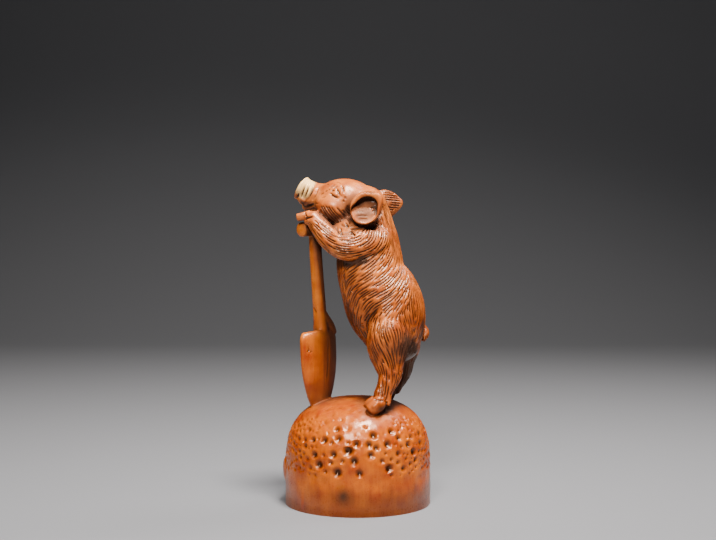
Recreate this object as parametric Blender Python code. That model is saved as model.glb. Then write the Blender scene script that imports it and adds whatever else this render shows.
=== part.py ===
"""A carved boxwood ornament: a small pig stands upright on a pitted mound and leans on a spade.

The whole ornament is cut from one block, so it is one closed body. Metres, +Z up. The origin is the
middle of the mound's flat underside. The pig looks towards -X and its left side is towards -Y.
"""

import math
import random

import bmesh
import bpy
import numpy as np
from mathutils import Matrix, Vector

# Driving sizes of the mound
mound_diameter = 0.042
mound_height = 0.0306
mound_wall_height = 0.012
mound_roundness = 2.6
pit_depth_share = 0.5
pit_diameter_range = (0.0017, 0.0026)
pit_gap = 0.0007
boss_height = 0.0108
boss_width = 0.0080
boss_stand_out = 0.0008
boss_middle_height = 0.0100

# Driving size of the figure: its pose, proportions and carving are shares of this height
figure_height = 0.0632
drawn_height = 63.2
unit = figure_height / drawn_height

# Driving sizes of the spade
shaft_diameter = 0.0041
crossbar_diameter = 0.0038
crossbar_length = 0.0122
blade_width = 0.0140
blade_height = 0.0207
blade_thickness = 0.0021
blade_sagitta = 0.0023

# Fineness of the carved surface
grain_of_cut = 0.0004
facets = 9600

boxwood_colour = (0.42, 0.13, 0.035, 1.0)


def figure_point(x, y, z):
    """A point of the figure, drawn in units over the mound's crown, as a place in metres."""
    return Vector((x * unit, y * unit, mound_height + z * unit))


def mound_top(x, y):
    """Height of the mound's skin over a place on its underside."""
    reach = min(math.hypot(x, y) / (mound_diameter / 2), 1.0)
    dome = (1.0 - reach**mound_roundness) ** (1.0 / mound_roundness)
    return mound_wall_height + (mound_height - mound_wall_height) * dome


def smooth_path(points, steps):
    """Values along a Catmull-Rom curve through points of any width, with steps to each stretch."""
    values = np.array(points, float)
    first = 2 * values[0] - values[1]
    last = 2 * values[-1] - values[-2]
    ends = np.vstack([first, values, last])
    t = np.linspace(0, 1, steps, endpoint=False)[:, None]
    path = []
    for a, b, c, d in zip(ends, ends[1:], ends[2:], ends[3:]):
        bend = 2 * a - 5 * b + 4 * c - d
        turn = 3 * b - a - 3 * c + d
        path.append(0.5 * (2 * b + (c - a) * t + bend * t**2 + turn * t**3))
    path.append(values[-1:])
    return np.vstack(path)


def skin_of_rings(rings):
    """A closed mesh through rings of equal count, each end closed by a fan."""
    shape = bmesh.new()
    loops = [[shape.verts.new(point) for point in ring] for ring in rings]
    for low, high in zip(loops, loops[1:]):
        for i, start in enumerate(low):
            after = (i + 1) % len(low)
            shape.faces.new((start, low[after], high[after], high[i]))
    for loop, turned in ((loops[0], True), (loops[-1], False)):
        middle = shape.verts.new(sum((v.co for v in loop), Vector()) / len(loop))
        for i, start in enumerate(loop):
            after = loop[(i + 1) % len(loop)]
            shape.faces.new((after, start, middle) if turned else (start, after, middle))
    bmesh.ops.recalc_face_normals(shape, faces=shape.faces)
    return shape


def limb(stations, across, steps=5, sides=20, tip=0.55):
    """A rounded loft. A station is a place, its half width front to back and its half width across."""
    path = smooth_path(stations, steps)
    centres = path[:, :3]
    tangents = np.gradient(centres, axis=0)
    tangents /= np.linalg.norm(tangents, axis=1)[:, None]
    turns = np.linspace(0, 2 * math.pi, sides, endpoint=False)
    rings = []

    def ring(k, slide, shrink):
        tangent = Vector(tangents[k])
        side = (Vector(across) - tangent * tangent.dot(Vector(across))).normalized()
        front = side.cross(tangent)
        centre = Vector(centres[k]) + tangent * slide
        long, wide = path[k, 3] * shrink, path[k, 4] * shrink
        return [centre + front * (long * math.cos(a)) + side * (wide * math.sin(a)) for a in turns]

    for k, outward in ((0, -1), (len(path) - 1, 1)):
        cap = []
        for share in (0.3, 0.6, 0.85):
            slide = outward * tip * share * min(path[k, 3], path[k, 4])
            cap.append(ring(k, slide, math.sqrt(1 - share**2)))
        if k == 0:
            rings = cap[::-1] + [ring(i, 0, 1) for i in range(len(path))]
        else:
            rings += cap
    return skin_of_rings(rings)


def figure_limb(stations, across=(0.21, 0.98, 0), **options):
    """A limb whose stations are drawn in the figure's units."""
    placed = []
    for x, y, z, long, wide in stations:
        placed.append((*figure_point(x, y, z), long * unit, wide * unit))
    return limb(placed, across, **options)


def ball(centre, radii, yaw=0.0, pitch=0.0):
    """An ellipsoid in the figure's units. Its first axis looks along -X, then pitch lifts it."""
    shape = bmesh.new()
    bmesh.ops.create_uvsphere(shape, u_segments=28, v_segments=18, radius=1.0)
    size = Matrix.Diagonal((*(r * unit for r in radii), 1.0))
    turn = Matrix.Rotation(-yaw, 4, "Z") @ Matrix.Rotation(pitch, 4, "Y")
    shape.transform(Matrix.Translation(figure_point(*centre)) @ turn @ size)
    return shape


def thick_sheet(place, normal, thickness, columns, rows):
    """A closed sheet with round edges over place(s, t), where s runs from -1 to 1 and t from 0 to 1."""
    s_values = np.sin(np.linspace(-math.pi / 2, math.pi / 2, columns))
    t_values = 0.5 + 0.5 * np.sin(np.linspace(-math.pi / 2, math.pi / 2, rows))
    shape = bmesh.new()

    def layer(side):
        grid = []
        for t in t_values:
            line = []
            for s in s_values:
                rim = min(1 - abs(s), 2 * t, 2 * (1 - t), 0.2) / 0.2
                half = 0.5 * thickness * math.sqrt(max(1 - (1 - rim) ** 2, 0.02))
                line.append(shape.verts.new(place(s, t) + normal(s, t) * (side * half)))
            grid.append(line)
        return grid

    top, under = layer(1), layer(-1)
    for r in range(rows - 1):
        for c in range(columns - 1):
            for grid in (top, under):
                shape.faces.new((grid[r][c], grid[r][c + 1], grid[r + 1][c + 1], grid[r + 1][c]))
    edge = [(0, c) for c in range(columns - 1)] + [(r, columns - 1) for r in range(rows - 1)]
    edge += [(rows - 1, c) for c in range(columns - 1, 0, -1)] + [(r, 0) for r in range(rows - 1, 0, -1)]
    for (r, c), (r2, c2) in zip(edge, edge[1:] + edge[:1]):
        shape.faces.new((top[r][c], top[r2][c2], under[r2][c2], under[r][c]))
    bmesh.ops.recalc_face_normals(shape, faces=shape.faces)
    return shape


def mound():
    """The mound: a straight round wall under a dome, started below the underside for the last cut."""
    radius = mound_diameter / 2
    heights = [-0.002, 0.0, 0.004, 0.008, mound_wall_height]
    outline = [(radius, z) for z in heights]
    for step in range(1, 15):
        reach = math.cos(step / 15 * math.pi / 2) ** 0.9
        outline.append((radius * reach, mound_top(radius * reach, 0)))
    turns = np.linspace(0, 2 * math.pi, 96, endpoint=False)
    rings = [[Vector((r * math.cos(a), r * math.sin(a), z)) for a in turns] for r, z in outline]
    return skin_of_rings(rings)


def boss():
    """A bare low oval boss on the mound's left wall."""
    shape = bmesh.new()
    bmesh.ops.create_uvsphere(shape, u_segments=24, v_segments=14, radius=1.0)
    sink = 2 * boss_stand_out
    size = Matrix.Diagonal((sink + boss_stand_out, boss_width / 2, boss_height / 2, 1.0))
    middle = Vector((sink - mound_diameter / 2, 0, boss_middle_height))
    shape.transform(Matrix.Translation(middle) @ size)
    return shape


# The spade stands on the mound in front of the pig, its crossbar under the trotters
bar_middle = figure_point(-12.3, 0.0, 48.4)
bar_along = Vector((0.67, 0.74, 0)).normalized()
blade_foot = Vector((bar_middle.x + 1.9 * unit, bar_middle.y + 0.2 * unit, 0))
blade_foot.z = mound_top(blade_foot.x, blade_foot.y)
lean = (bar_middle - blade_foot).normalized()
blade_out = bar_along.cross(lean).normalized()
blade_neck = blade_foot + lean * blade_height


def blade_place(s, t):
    """A point of the blade's middle skin. s runs across it and t from its foot to its shoulders."""
    taper = max(1 - t / 0.7, 0.0)
    half = 0.5 * blade_width * (1 - 0.6 * taper**1.6)
    sink = 0.12 * blade_height
    rise = (blade_height + sink) * t - sink - 0.035 * blade_height * s * s
    bow = blade_sagitta * (1 - s * s) * (0.55 + 0.45 * t) - blade_sagitta / 2
    return blade_foot + lean * rise + bar_along * (half * s) + blade_out * bow


def blade_normal(s, t):
    slope = 4 * blade_sagitta / blade_width * s
    return (blade_out + bar_along * slope).normalized()


def spade():
    """The blade, its socket, the shaft and the crossbar."""
    r = shaft_diameter / 2
    forward = tuple(blade_out)
    neck = blade_neck + blade_out * blade_sagitta * 0.3
    shaft = [
        (*(neck - lean * 0.30 * blade_height), 0.35 * r, 0.5 * r),
        (*(neck - lean * 0.12 * blade_height), 0.9 * r, 1.1 * r),
        (*(neck + lean * 0.04 * blade_height), 1.25 * r, 1.45 * r),
        (*(neck + lean * 0.12 * blade_height), 1.06 * r, 1.06 * r),
        (*neck.lerp(bar_middle, 0.5), r, r),
        (*bar_middle, 0.95 * r, 0.95 * r),
    ]
    half = bar_along * (crossbar_length / 2 - crossbar_diameter * 0.15)
    bar = [
        (*(bar_middle - half), crossbar_diameter / 2, crossbar_diameter / 2),
        (*bar_middle, crossbar_diameter / 2.1, crossbar_diameter / 2.1),
        (*(bar_middle + half), crossbar_diameter / 2, crossbar_diameter / 2),
    ]
    sheet = thick_sheet(blade_place, blade_normal, blade_thickness, 15, 17)
    return [limb(shaft, forward), limb(bar, (0, 0, 1), tip=0.35), sheet]


# Stations of the figure: x, y, z over the mound's crown, half width front to back, half width across
torso_line = (
    (10.9, -1.3, 13.5, 6.8, 8.4),
    (10.0, -1.2, 18.9, 9.6, 10.3),
    (8.6, -1.1, 23.9, 11.1, 11.3),
    (6.9, -1.0, 29.4, 11.7, 11.6),
    (4.8, -0.8, 35.4, 10.9, 11.1),
    (3.5, -0.5, 40.4, 9.8, 10.5),
    (3.5, -0.2, 45.4, 8.7, 9.5),
    (3.2, 0.2, 50.4, 7.5, 8.3),
    (2.2, 0.6, 54.9, 6.3, 7.4),
)
near_leg_line = (
    (9.4, -6.9, 23.6, 5.8, 4.2),
    (9.1, -7.6, 18.4, 6.5, 5.2),
    (8.5, -8.7, 13.6, 5.7, 4.8),
    (8.8, -9.4, 10.2, 4.4, 3.9),
    (8.8, -10.1, 7.4, 3.7, 3.4),
    (8.2, -10.8, 5.0, 2.9, 2.9),
    (7.4, -11.2, 3.2, 2.6, 2.7),
    (6.6, -11.7, 1.5, 2.6, 2.6),
)
far_leg_line = (
    (12.3, 4.6, 23.6, 5.8, 4.2),
    (12.2, 5.4, 18.4, 6.4, 5.2),
    (11.8, 6.5, 13.6, 5.6, 4.8),
    (12.2, 7.3, 10.0, 4.2, 3.9),
    (12.5, 7.9, 6.8, 3.5, 3.4),
    (11.7, 8.3, 4.4, 2.9, 2.9),
    (10.9, 8.5, 2.8, 2.6, 2.7),
    (10.0, 8.7, 1.2, 2.6, 2.6),
)
near_arm_line = (
    (7.0, -5.4, 48.4, 4.2, 3.0),
    (4.2, -7.6, 45.6, 4.8, 3.6),
    (0.4, -9.1, 44.0, 4.6, 3.8),
    (-3.8, -9.3, 43.6, 4.0, 3.7),
    (-7.5, -8.4, 45.4, 3.4, 3.3),
    (-10.4, -7.1, 48.6, 3.0, 2.9),
    (-13.0, -5.9, 52.0, 2.3, 2.5),
)
far_arm_line = (
    (9.0, 4.6, 48.4, 4.2, 3.0),
    (6.8, 7.3, 45.6, 4.8, 3.6),
    (3.2, 9.0, 44.0, 4.6, 3.8),
    (-0.8, 9.4, 43.6, 4.0, 3.7),
    (-4.4, 8.2, 45.4, 3.4, 3.3),
    (-7.4, 6.4, 48.6, 3.0, 2.9),
    (-9.8, 5.0, 51.8, 2.3, 2.5),
)
tail_line = (
    (16.5, 0.6, 22.0, 1.6, 1.6),
    (18.9, 0.7, 20.6, 1.4, 1.4),
    (19.6, 0.2, 18.2, 1.2, 1.2),
    (18.7, -0.3, 16.2, 1.0, 1.0),
)
head_yaw = 0.24
snout_line = (
    (-8.4, 2.2, 56.4, 5.8, 6.0),
    (-11.6, 2.9, 57.8, 4.3, 4.4),
    (-13.7, 3.4, 58.8, 3.7, 3.8),
    (-15.3, 3.8, 59.8, 3.45, 3.6),
    (-16.1, 4.0, 60.3, 3.5, 3.7),
)
jaw_line = (
    (-5.0, 1.4, 53.8, 3.6, 5.8),
    (-9.0, 2.3, 54.0, 3.0, 4.4),
    (-12.8, 3.2, 55.0, 1.7, 2.8),
    (-14.4, 3.6, 55.6, 1.2, 2.1),
)


def hoofed_leg(stations, toe_x, toe_y):
    """A leg that ends in two toes, which stand on the mound's skin, with two dewclaws behind."""
    ankle = stations[-1]
    forms = [figure_limb(stations)]
    for sideways, ahead in ((-1.55, 0.0), (1.55, -0.5)):
        start = (ankle[0] - 0.6 + ahead, ankle[1] + sideways * 0.7, ankle[2] - 0.9)
        x, y = toe_x + ahead, toe_y + sideways
        ground = (mound_top(x * unit, y * unit) - mound_height) / unit
        end = (x, y, ground + 1.0)
        middle = [0.5 * (a + b) for a, b in zip(start, end)]
        toe = ((*start, 2.0, 1.75), (*middle, 2.25, 1.9), (*end, 2.1, 1.8))
        forms.append(figure_limb(toe, tip=0.6))
        claw_y = ankle[1] + sideways * 0.8
        heel = (ankle[0] + 1.3, claw_y, ankle[2] + 0.2, 1.1, 1.0)
        claw = (ankle[0] + 2.1, claw_y, ankle[2] - 1.3, 0.9, 0.8)
        forms.append(figure_limb((heel, claw)))
    return forms


def hand(wrist, reach):
    """A trotter: a short pastern and two square toes that lie over the crossbar."""
    x, y, z = wrist
    knuckle = (x - 2.2, y + 0.2, z + 0.25)
    forms = [figure_limb(((x, y, z, 2.2, 2.4), (*knuckle, 1.6, 2.2)))]
    for sideways in (-1.3, 1.3):
        start = (knuckle[0] - 0.1, knuckle[1] + sideways, knuckle[2] - 0.35)
        end = (knuckle[0] - reach, knuckle[1] + sideways * 1.1, knuckle[2] - 0.75)
        forms.append(figure_limb(((*start, 1.5, 1.2), (*end, 1.5, 1.2)), tip=0.15))
    forms.append(ball((x - 1.2, y - 0.2, z - 1.6), (1.5, 1.9, 1.2)))
    return forms


def ear(root, tip_way, open_way, length, width, depth):
    """A cupped ear: a bowl whose mouth looks along open_way and whose tip lies along tip_way."""
    opening = Vector(open_way).normalized()
    along = Vector(tip_way)
    along = (along - opening * along.dot(opening)).normalized()
    side = opening.cross(along)
    centre = figure_point(*root)
    wall = 1.25 * unit
    turns = np.linspace(0, 2 * math.pi, 28, endpoint=False)
    rings = []

    def ring(share, lift, inset):
        points = []
        for a in turns:
            reach = (length * (1 + 0.12 * math.cos(a)) * unit - inset) * share
            spread = (width * unit - inset) * share
            place = centre + along * (reach * math.cos(a)) + side * (spread * math.sin(a))
            points.append(place + opening * lift)
        return points

    for share in (0.12, 0.4, 0.65, 0.85, 0.97):
        rings.append(ring(share, -depth * unit * (1 - share**2), 0.0))
    rings.append(ring(0.99, 0.5 * wall, 0.25 * wall))
    for share in (0.97, 0.8, 0.6, 0.35, 0.1):
        rings.append(ring(share, wall - depth * unit * (1 - share**2), wall))
    return skin_of_rings(rings)


def head():
    """Skull, cheeks, snout, jaw, brows and ears, tipped up so that the chin lies on the trotters."""
    return [
        ball((-4.2, 0.9, 56.5), (9.0, 8.0, 6.6), head_yaw, -0.05),
        ball((1.6, 0.2, 55.0), (7.0, 7.6, 6.2), head_yaw, 0.15),
        ball((-7.0, -3.6, 54.4), (5.4, 4.0, 4.3), head_yaw, 0.35),
        ball((-5.2, 6.0, 54.4), (5.4, 4.0, 4.3), head_yaw, 0.35),
        figure_limb(snout_line, tip=0.15),
        figure_limb(jaw_line),
        ball((-15.2, 3.6, 57.4), (2.5, 3.3, 2.1), head_yaw, 0.2),
        ball((-16.4, 4.05, 60.4), (0.8, 3.7, 3.7), head_yaw, 0.54),
        ear((2.0, -8.9, 55.2), (0.4, -0.3, -0.9), (-0.25, -0.93, -0.25), 5.0, 4.9, 2.6),
        ear((8.6, 7.9, 56.6), (0.8, 0.3, -0.3), (-0.5, 0.8, -0.1), 4.7, 4.3, 2.2),
    ]


def carved_block():
    """All forms as one mesh, made one skin by a voxel remesh and softened where they meet."""
    forms = [mound(), boss(), *spade(), *head()]
    forms.append(figure_limb(torso_line))
    forms += [ball((8.6, -7.6, 16.8), (6.2, 4.7, 8.4)), ball((11.8, 5.5, 16.8), (6.2, 4.7, 8.4))]
    forms += hoofed_leg(near_leg_line, 3.3, -12.4)
    forms += hoofed_leg(far_leg_line, 6.8, 9.0)
    forms += [figure_limb(near_arm_line), figure_limb(far_arm_line), figure_limb(tail_line)]
    forms += hand((-13.0, -5.9, 52.0), 2.3)
    forms += hand((-9.9, 4.6, 51.9), 2.3)
    block = bmesh.new()
    for form in forms:
        piece = bpy.data.meshes.new("form")
        form.to_mesh(piece)
        block.from_mesh(piece)
        form.free()
        bpy.data.meshes.remove(piece)
    mesh = bpy.data.meshes.new("block")
    block.to_mesh(mesh)
    block.free()
    blank = bpy.data.objects.new("block", mesh)
    bpy.context.collection.objects.link(blank)
    remesh = blank.modifiers.new("one skin", "REMESH")
    remesh.mode = "VOXEL"
    remesh.voxel_size = grain_of_cut
    soften = blank.modifiers.new("soften", "SMOOTH")
    soften.factor = 0.5
    soften.iterations = 4
    skin = bpy.data.meshes.new_from_object(blank.evaluated_get(bpy.context.evaluated_depsgraph_get()))
    bpy.data.objects.remove(blank)
    bpy.data.meshes.remove(mesh)
    return skin


# The larger pits of the near side of a mound drawn 30.6 high: turn in degrees from -Y towards +X,
# height and radius
drawn_mound_height = 30.6
near_pits = (
    (-40, 20.5, 0.8), (-36, 16.6, 0.7), (-31, 13.8, 1.0), (-28, 20.6, 0.9), (-20, 17.1, 0.8),
    (-18, 23.6, 0.7), (-17, 12.2, 1.3), (-15, 21.1, 0.7), (-8, 18.3, 1.3), (-4, 15.9, 1.1),
    (-1, 20.2, 0.7), (1, 12.1, 1.0), (9, 19.9, 0.8), (10, 17.0, 1.0), (23, 19.9, 1.0),
    (24, 13.4, 1.2), (29, 23.2, 1.0), (33, 17.0, 0.8), (35, 20.9, 0.8), (38, 12.9, 0.8),
    (44, 19.0, 0.7), (49, 16.9, 0.8), (62, 21.2, 0.9),
)


def on_mound(turn, height):
    """A place on the mound's skin, from its turn about the axis and its height."""
    rise = max(height - mound_wall_height, 0.0) / (mound_height - mound_wall_height)
    radius = mound_diameter / 2 * (1 - rise**mound_roundness) ** (1 / mound_roundness)
    return Vector((radius * math.sin(turn), -radius * math.cos(turn), height))


def pits():
    """Places and radii of the round pits: a belt around the mound's shoulder."""
    share = mound_height / drawn_mound_height
    found = [(on_mound(math.radians(a), h * share), r * share) for a, h, r in near_pits]
    draw = random.Random(12)
    smallest, largest = (0.5 * size for size in pit_diameter_range)
    low, high = 0.36 * mound_height, 0.84 * mound_height
    for _ in range(2500):
        turn = draw.uniform(0, 2 * math.pi)
        height = draw.uniform(low, high)
        size = draw.uniform(smallest, largest)
        place = on_mound(turn, height)
        if all((place - other).length > size + near + pit_gap for other, near in found):
            found.append((place, size))
    return found


def cut_pits(points, normals):
    """Press each pit into the skin."""
    for place, size in pits():
        distance = np.linalg.norm(points - np.array(place), axis=1)
        inside = distance < size
        depth = pit_depth_share * size * (1 - (distance[inside] / size) ** 2)
        points[inside] -= normals[inside] * depth[:, None]


def furrows(across, along, length):
    """Cuts one unit apart, each as long as length and staggered against its neighbours."""
    row = np.floor(across)
    valley = np.exp(-(((across - row - 0.5) / 0.2) ** 2))
    return valley * (0.35 + 0.65 * np.cos(math.pi * (along / length + 0.5 * (row % 2))) ** 2)


def cut_locks(points, normals):
    """Furrows between the locks of hair, which slant up over the flanks and run down the legs."""
    at = (points - np.array([0, 0, mound_height])) / unit
    x, y, z = at.T
    middle = 9.0 - 0.28 * (z - 26)
    edge = np.clip(np.abs(x - middle) / 11, 0, 1)
    slant = 0.6 + 0.55 * edge**2
    across = (z * np.cos(slant) - x * np.sin(slant)) / 2.4
    along = x * np.cos(slant) + z * np.sin(slant)
    flank = furrows(across, along, 7.0) * np.clip((z - 20) / 2, 0, 1) * np.clip((44 - z) / 2, 0, 1)
    leg_across = (x - 0.12 * (z - 10) + 0.5 * np.abs(y + 1)) / 1.9
    leg = furrows(leg_across, z, 6.0) * np.clip((z - 2.5) / 2, 0, 1) * np.clip((22 - z) / 2, 0, 1)
    arm_across = (z + 0.06 * (x + 1) ** 2) / 1.8
    on_arm = np.clip((x + 12) / 2, 0, 1) * np.clip((z - 40) / 2, 0, 1) * np.clip((50 - z) / 2, 0, 1)
    arm = furrows(arm_across, x, 6.0) * on_arm * (np.abs(y) > 5.5)
    on_pig = (x > -8) | (arm > 0)
    depth = 0.38 * unit * np.maximum(np.maximum(flank * (z < 43), leg), arm) * on_pig
    points -= normals * depth[:, None]


def carve(mesh):
    """Cut pits and furrows into the skin."""
    count = len(mesh.vertices)
    points, normals = np.empty(count * 3), np.empty(count * 3)
    mesh.vertices.foreach_get("co", points)
    mesh.vertex_normals.foreach_get("vector", normals)
    points, normals = points.reshape(-1, 3), normals.reshape(-1, 3)
    cut_pits(points, normals)
    cut_locks(points, normals)
    mesh.vertices.foreach_set("co", points.ravel())
    mesh.update()


def boxwood():
    """Waxed boxwood."""
    material = bpy.data.materials.new("boxwood")
    material.use_nodes = True
    shader = material.node_tree.nodes["Principled BSDF"]
    shader.inputs["Base Color"].default_value = boxwood_colour
    shader.inputs["Roughness"].default_value = 0.32
    shader.inputs["Metallic"].default_value = 0.0
    return material


def underside_cutter():
    """A block below the underside, which leaves it flat."""
    shape = bmesh.new()
    bmesh.ops.create_cube(shape, size=1.0)
    side = 2 * mound_diameter
    shape.transform(Matrix.Translation((0, 0, -side / 2)) @ Matrix.Diagonal((side, side, side, 1.0)))
    mesh = bpy.data.meshes.new("underside_cutter")
    shape.to_mesh(mesh)
    shape.free()
    cutter = bpy.data.objects.new("underside_cutter", mesh)
    cutter.hide_render = True
    cutter.display_type = "WIRE"
    bpy.context.collection.objects.link(cutter)
    return cutter


def main():
    for old in list(bpy.data.objects):
        bpy.data.objects.remove(old)
    skin = carved_block()
    carve(skin)
    skin.name = "pig_carving"
    carving = bpy.data.objects.new("pig_carving", skin)
    bpy.context.collection.objects.link(carving)
    skin.materials.append(boxwood())
    skin.shade_smooth()
    fewer = carving.modifiers.new("fewer facets", "DECIMATE")
    fewer.ratio = facets / (2 * len(skin.polygons))
    flat = carving.modifiers.new("flat underside", "BOOLEAN")
    flat.operation = "DIFFERENCE"
    flat.object = underside_cutter()


main()
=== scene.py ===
"""The finish of a carved boxwood ornament: a small pig stands on a pitted mound and leans on a spade.

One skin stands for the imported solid. Its soft forms are melted together, the crisp ones are set on
them, folds are sculpted at places that the picture shows, and Geometry Nodes cut the pits and the
strokes of hair. Lengths are drawn in millimetres of an ornament 94.1 high, and scaled to the frame.
"""

import math
import random

import bmesh
import bpy
import numpy as np
from mathutils import Matrix, Vector
from mathutils.bvhtree import BVHTree
from mathutils.kdtree import KDTree


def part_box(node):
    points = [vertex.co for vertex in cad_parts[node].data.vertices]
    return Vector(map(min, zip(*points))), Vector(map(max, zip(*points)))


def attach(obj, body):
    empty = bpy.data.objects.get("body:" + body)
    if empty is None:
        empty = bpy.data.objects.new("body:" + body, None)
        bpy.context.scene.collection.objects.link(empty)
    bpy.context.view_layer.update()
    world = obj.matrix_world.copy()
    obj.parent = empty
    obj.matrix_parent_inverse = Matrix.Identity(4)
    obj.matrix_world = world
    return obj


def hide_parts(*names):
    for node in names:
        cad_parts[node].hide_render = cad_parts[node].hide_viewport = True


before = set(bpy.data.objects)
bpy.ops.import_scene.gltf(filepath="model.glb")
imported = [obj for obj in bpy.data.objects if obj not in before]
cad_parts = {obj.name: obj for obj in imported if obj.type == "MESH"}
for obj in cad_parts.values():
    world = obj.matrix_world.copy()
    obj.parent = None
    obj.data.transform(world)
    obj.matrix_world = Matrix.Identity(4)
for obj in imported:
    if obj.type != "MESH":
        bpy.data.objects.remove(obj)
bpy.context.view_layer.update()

low_corner, high_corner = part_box("pig_carving")

# The drawing's millimetre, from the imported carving's height
drawn_height = 94.1
mm = (high_corner.z - low_corner.z) / drawn_height

# The mound, as packed
mound_radius = (high_corner.y - low_corner.y) / mm / 2
mound_height = 30.6
mound_wall_height = 12.0
mound_roundness = 2.6

# The spade, as packed
shaft_radius = 2.05
crossbar_radius = 1.9
crossbar_length = 12.2
blade_width = 14.0
blade_height = 20.7
blade_thickness = 2.1
blade_sagitta = 2.3

# Fineness of the skin, and how many rounds it is softened
grain_of_forms = 0.3
rounds_on_forms = 22
grain_of_skin = 0.17
rounds_on_skin = 4
most_triangles = 194000

# The picture, and the camera that it was taken with
picture_width, picture_height = 716, 540
sensor_width = 36.0
lens = 62.3
eye = Vector((0.0, -358.0, 78.3))
eye_tilt = math.radians(88.24)
ahead = Vector((0.0, math.sin(eye_tilt), -math.cos(eye_tilt)))
upward = Vector((0.0, math.cos(eye_tilt), math.sin(eye_tilt)))


def sight(u, v):
    """The way from the eye through a pixel of the picture."""
    scale = sensor_width / picture_width
    right = Vector((1.0, 0.0, 0.0)) * ((u - picture_width / 2) * scale)
    return (ahead * lens + right - upward * ((v - picture_height / 2) * scale)).normalized()


def seen(u, v, y):
    """The place seen at a pixel, in the upright plane at y."""
    way = sight(u, v)
    return eye + way * ((y - eye.y) / way.y)


def figure_point(x, y, z):
    """A point of the figure, whose heights are drawn over the mound's crown."""
    return Vector((x, y, mound_height + z))


def mound_top(x, y):
    """Height of the mound's skin over places on its underside."""
    reach = np.minimum(np.hypot(x, y) / mound_radius, 1.0)
    dome = (1.0 - reach**mound_roundness) ** (1.0 / mound_roundness)
    return mound_wall_height + (mound_height - mound_wall_height) * dome


# Forms


def smooth_path(points, steps):
    """Values along a Catmull-Rom curve through points of any width, with steps to each stretch."""
    values = np.array(points, float)
    first = 2 * values[0] - values[1]
    last = 2 * values[-1] - values[-2]
    ends = np.vstack([first, values, last])
    t = np.linspace(0, 1, steps, endpoint=False)[:, None]
    path = []
    for a, b, c, d in zip(ends, ends[1:], ends[2:], ends[3:]):
        bend = 2 * a - 5 * b + 4 * c - d
        turn = 3 * b - a - 3 * c + d
        path.append(0.5 * (2 * b + (c - a) * t + bend * t**2 + turn * t**3))
    path.append(values[-1:])
    return np.vstack(path)


def skin_of_rings(rings):
    """A closed mesh through rings of equal count, each end closed by a fan."""
    shape = bmesh.new()
    loops = [[shape.verts.new(point) for point in ring] for ring in rings]
    for low, high in zip(loops, loops[1:]):
        for i, start in enumerate(low):
            after = (i + 1) % len(low)
            shape.faces.new((start, low[after], high[after], high[i]))
    for loop, turned in ((loops[0], True), (loops[-1], False)):
        middle = shape.verts.new(sum((v.co for v in loop), Vector()) / len(loop))
        for i, start in enumerate(loop):
            after = loop[(i + 1) % len(loop)]
            shape.faces.new((after, start, middle) if turned else (start, after, middle))
    bmesh.ops.recalc_face_normals(shape, faces=shape.faces)
    return shape


# Where the rings of a limb's round ends lie, as shares of the end's reach
cap_shares = (0.95, 0.85, 0.6, 0.3)


def limb(stations, across=(0.21, 0.98, 0), steps=6, sides=32, tip=0.55, square=1.0):
    """A rounded loft. A station is a place, its half width front to back and its half width across.

    A square below 1 flattens its sides.
    """
    path = smooth_path(stations, steps)
    centres = path[:, :3]
    tangents = np.gradient(centres, axis=0)
    tangents /= np.linalg.norm(tangents, axis=1)[:, None]
    turns = np.linspace(0, 2 * math.pi, sides, endpoint=False)

    def flat(value):
        return math.copysign(abs(value) ** square, value)

    def ring(k, slide, shrink):
        tangent = Vector(tangents[k])
        side = (Vector(across) - tangent * tangent.dot(Vector(across))).normalized()
        front = side.cross(tangent)
        centre = Vector(centres[k]) + tangent * slide
        long, wide = path[k, 3:5] * shrink
        return [
            centre + front * (long * flat(math.cos(a))) + side * (wide * flat(math.sin(a)))
            for a in turns
        ]

    def cap(k, reach, shares):
        width = min(path[k, 3:5])
        return [ring(k, reach * share * width, math.sqrt(1 - share**2)) for share in shares]

    last = len(path) - 1
    sleeve = [ring(k, 0, 1) for k in range(last + 1)]
    return skin_of_rings(cap(0, -tip, cap_shares) + sleeve + cap(last, tip, cap_shares[::-1]))


def figure_limb(stations, **options):
    """A limb whose stations stand over the mound's crown."""
    return limb([(x, y, mound_height + z, *widths) for x, y, z, *widths in stations], **options)


def seen_limb(stations, **options):
    """A limb drawn on the picture: each station is a pixel, its plane's y and its half widths."""
    return limb([(*seen(u, v, y), *widths) for u, v, y, *widths in stations], **options)


def ball_at(place, radii, yaw=0.0, pitch=0.0):
    """An ellipsoid. Its first axis looks along -X, yaw turns it away from the eye, pitch lifts it."""
    shape = bmesh.new()
    bmesh.ops.create_uvsphere(shape, u_segments=48, v_segments=32, radius=1.0)
    turn = Matrix.Rotation(-yaw, 4, "Z") @ Matrix.Rotation(pitch, 4, "Y")
    shape.transform(Matrix.Translation(place) @ turn @ Matrix.Diagonal((*radii, 1.0)))
    return shape


def ball(centre, radii, yaw=0.0, pitch=0.0):
    return ball_at(figure_point(*centre), radii, yaw, pitch)


# The share of a sheet's half width that its round edge takes
rim_share = 0.2


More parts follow.
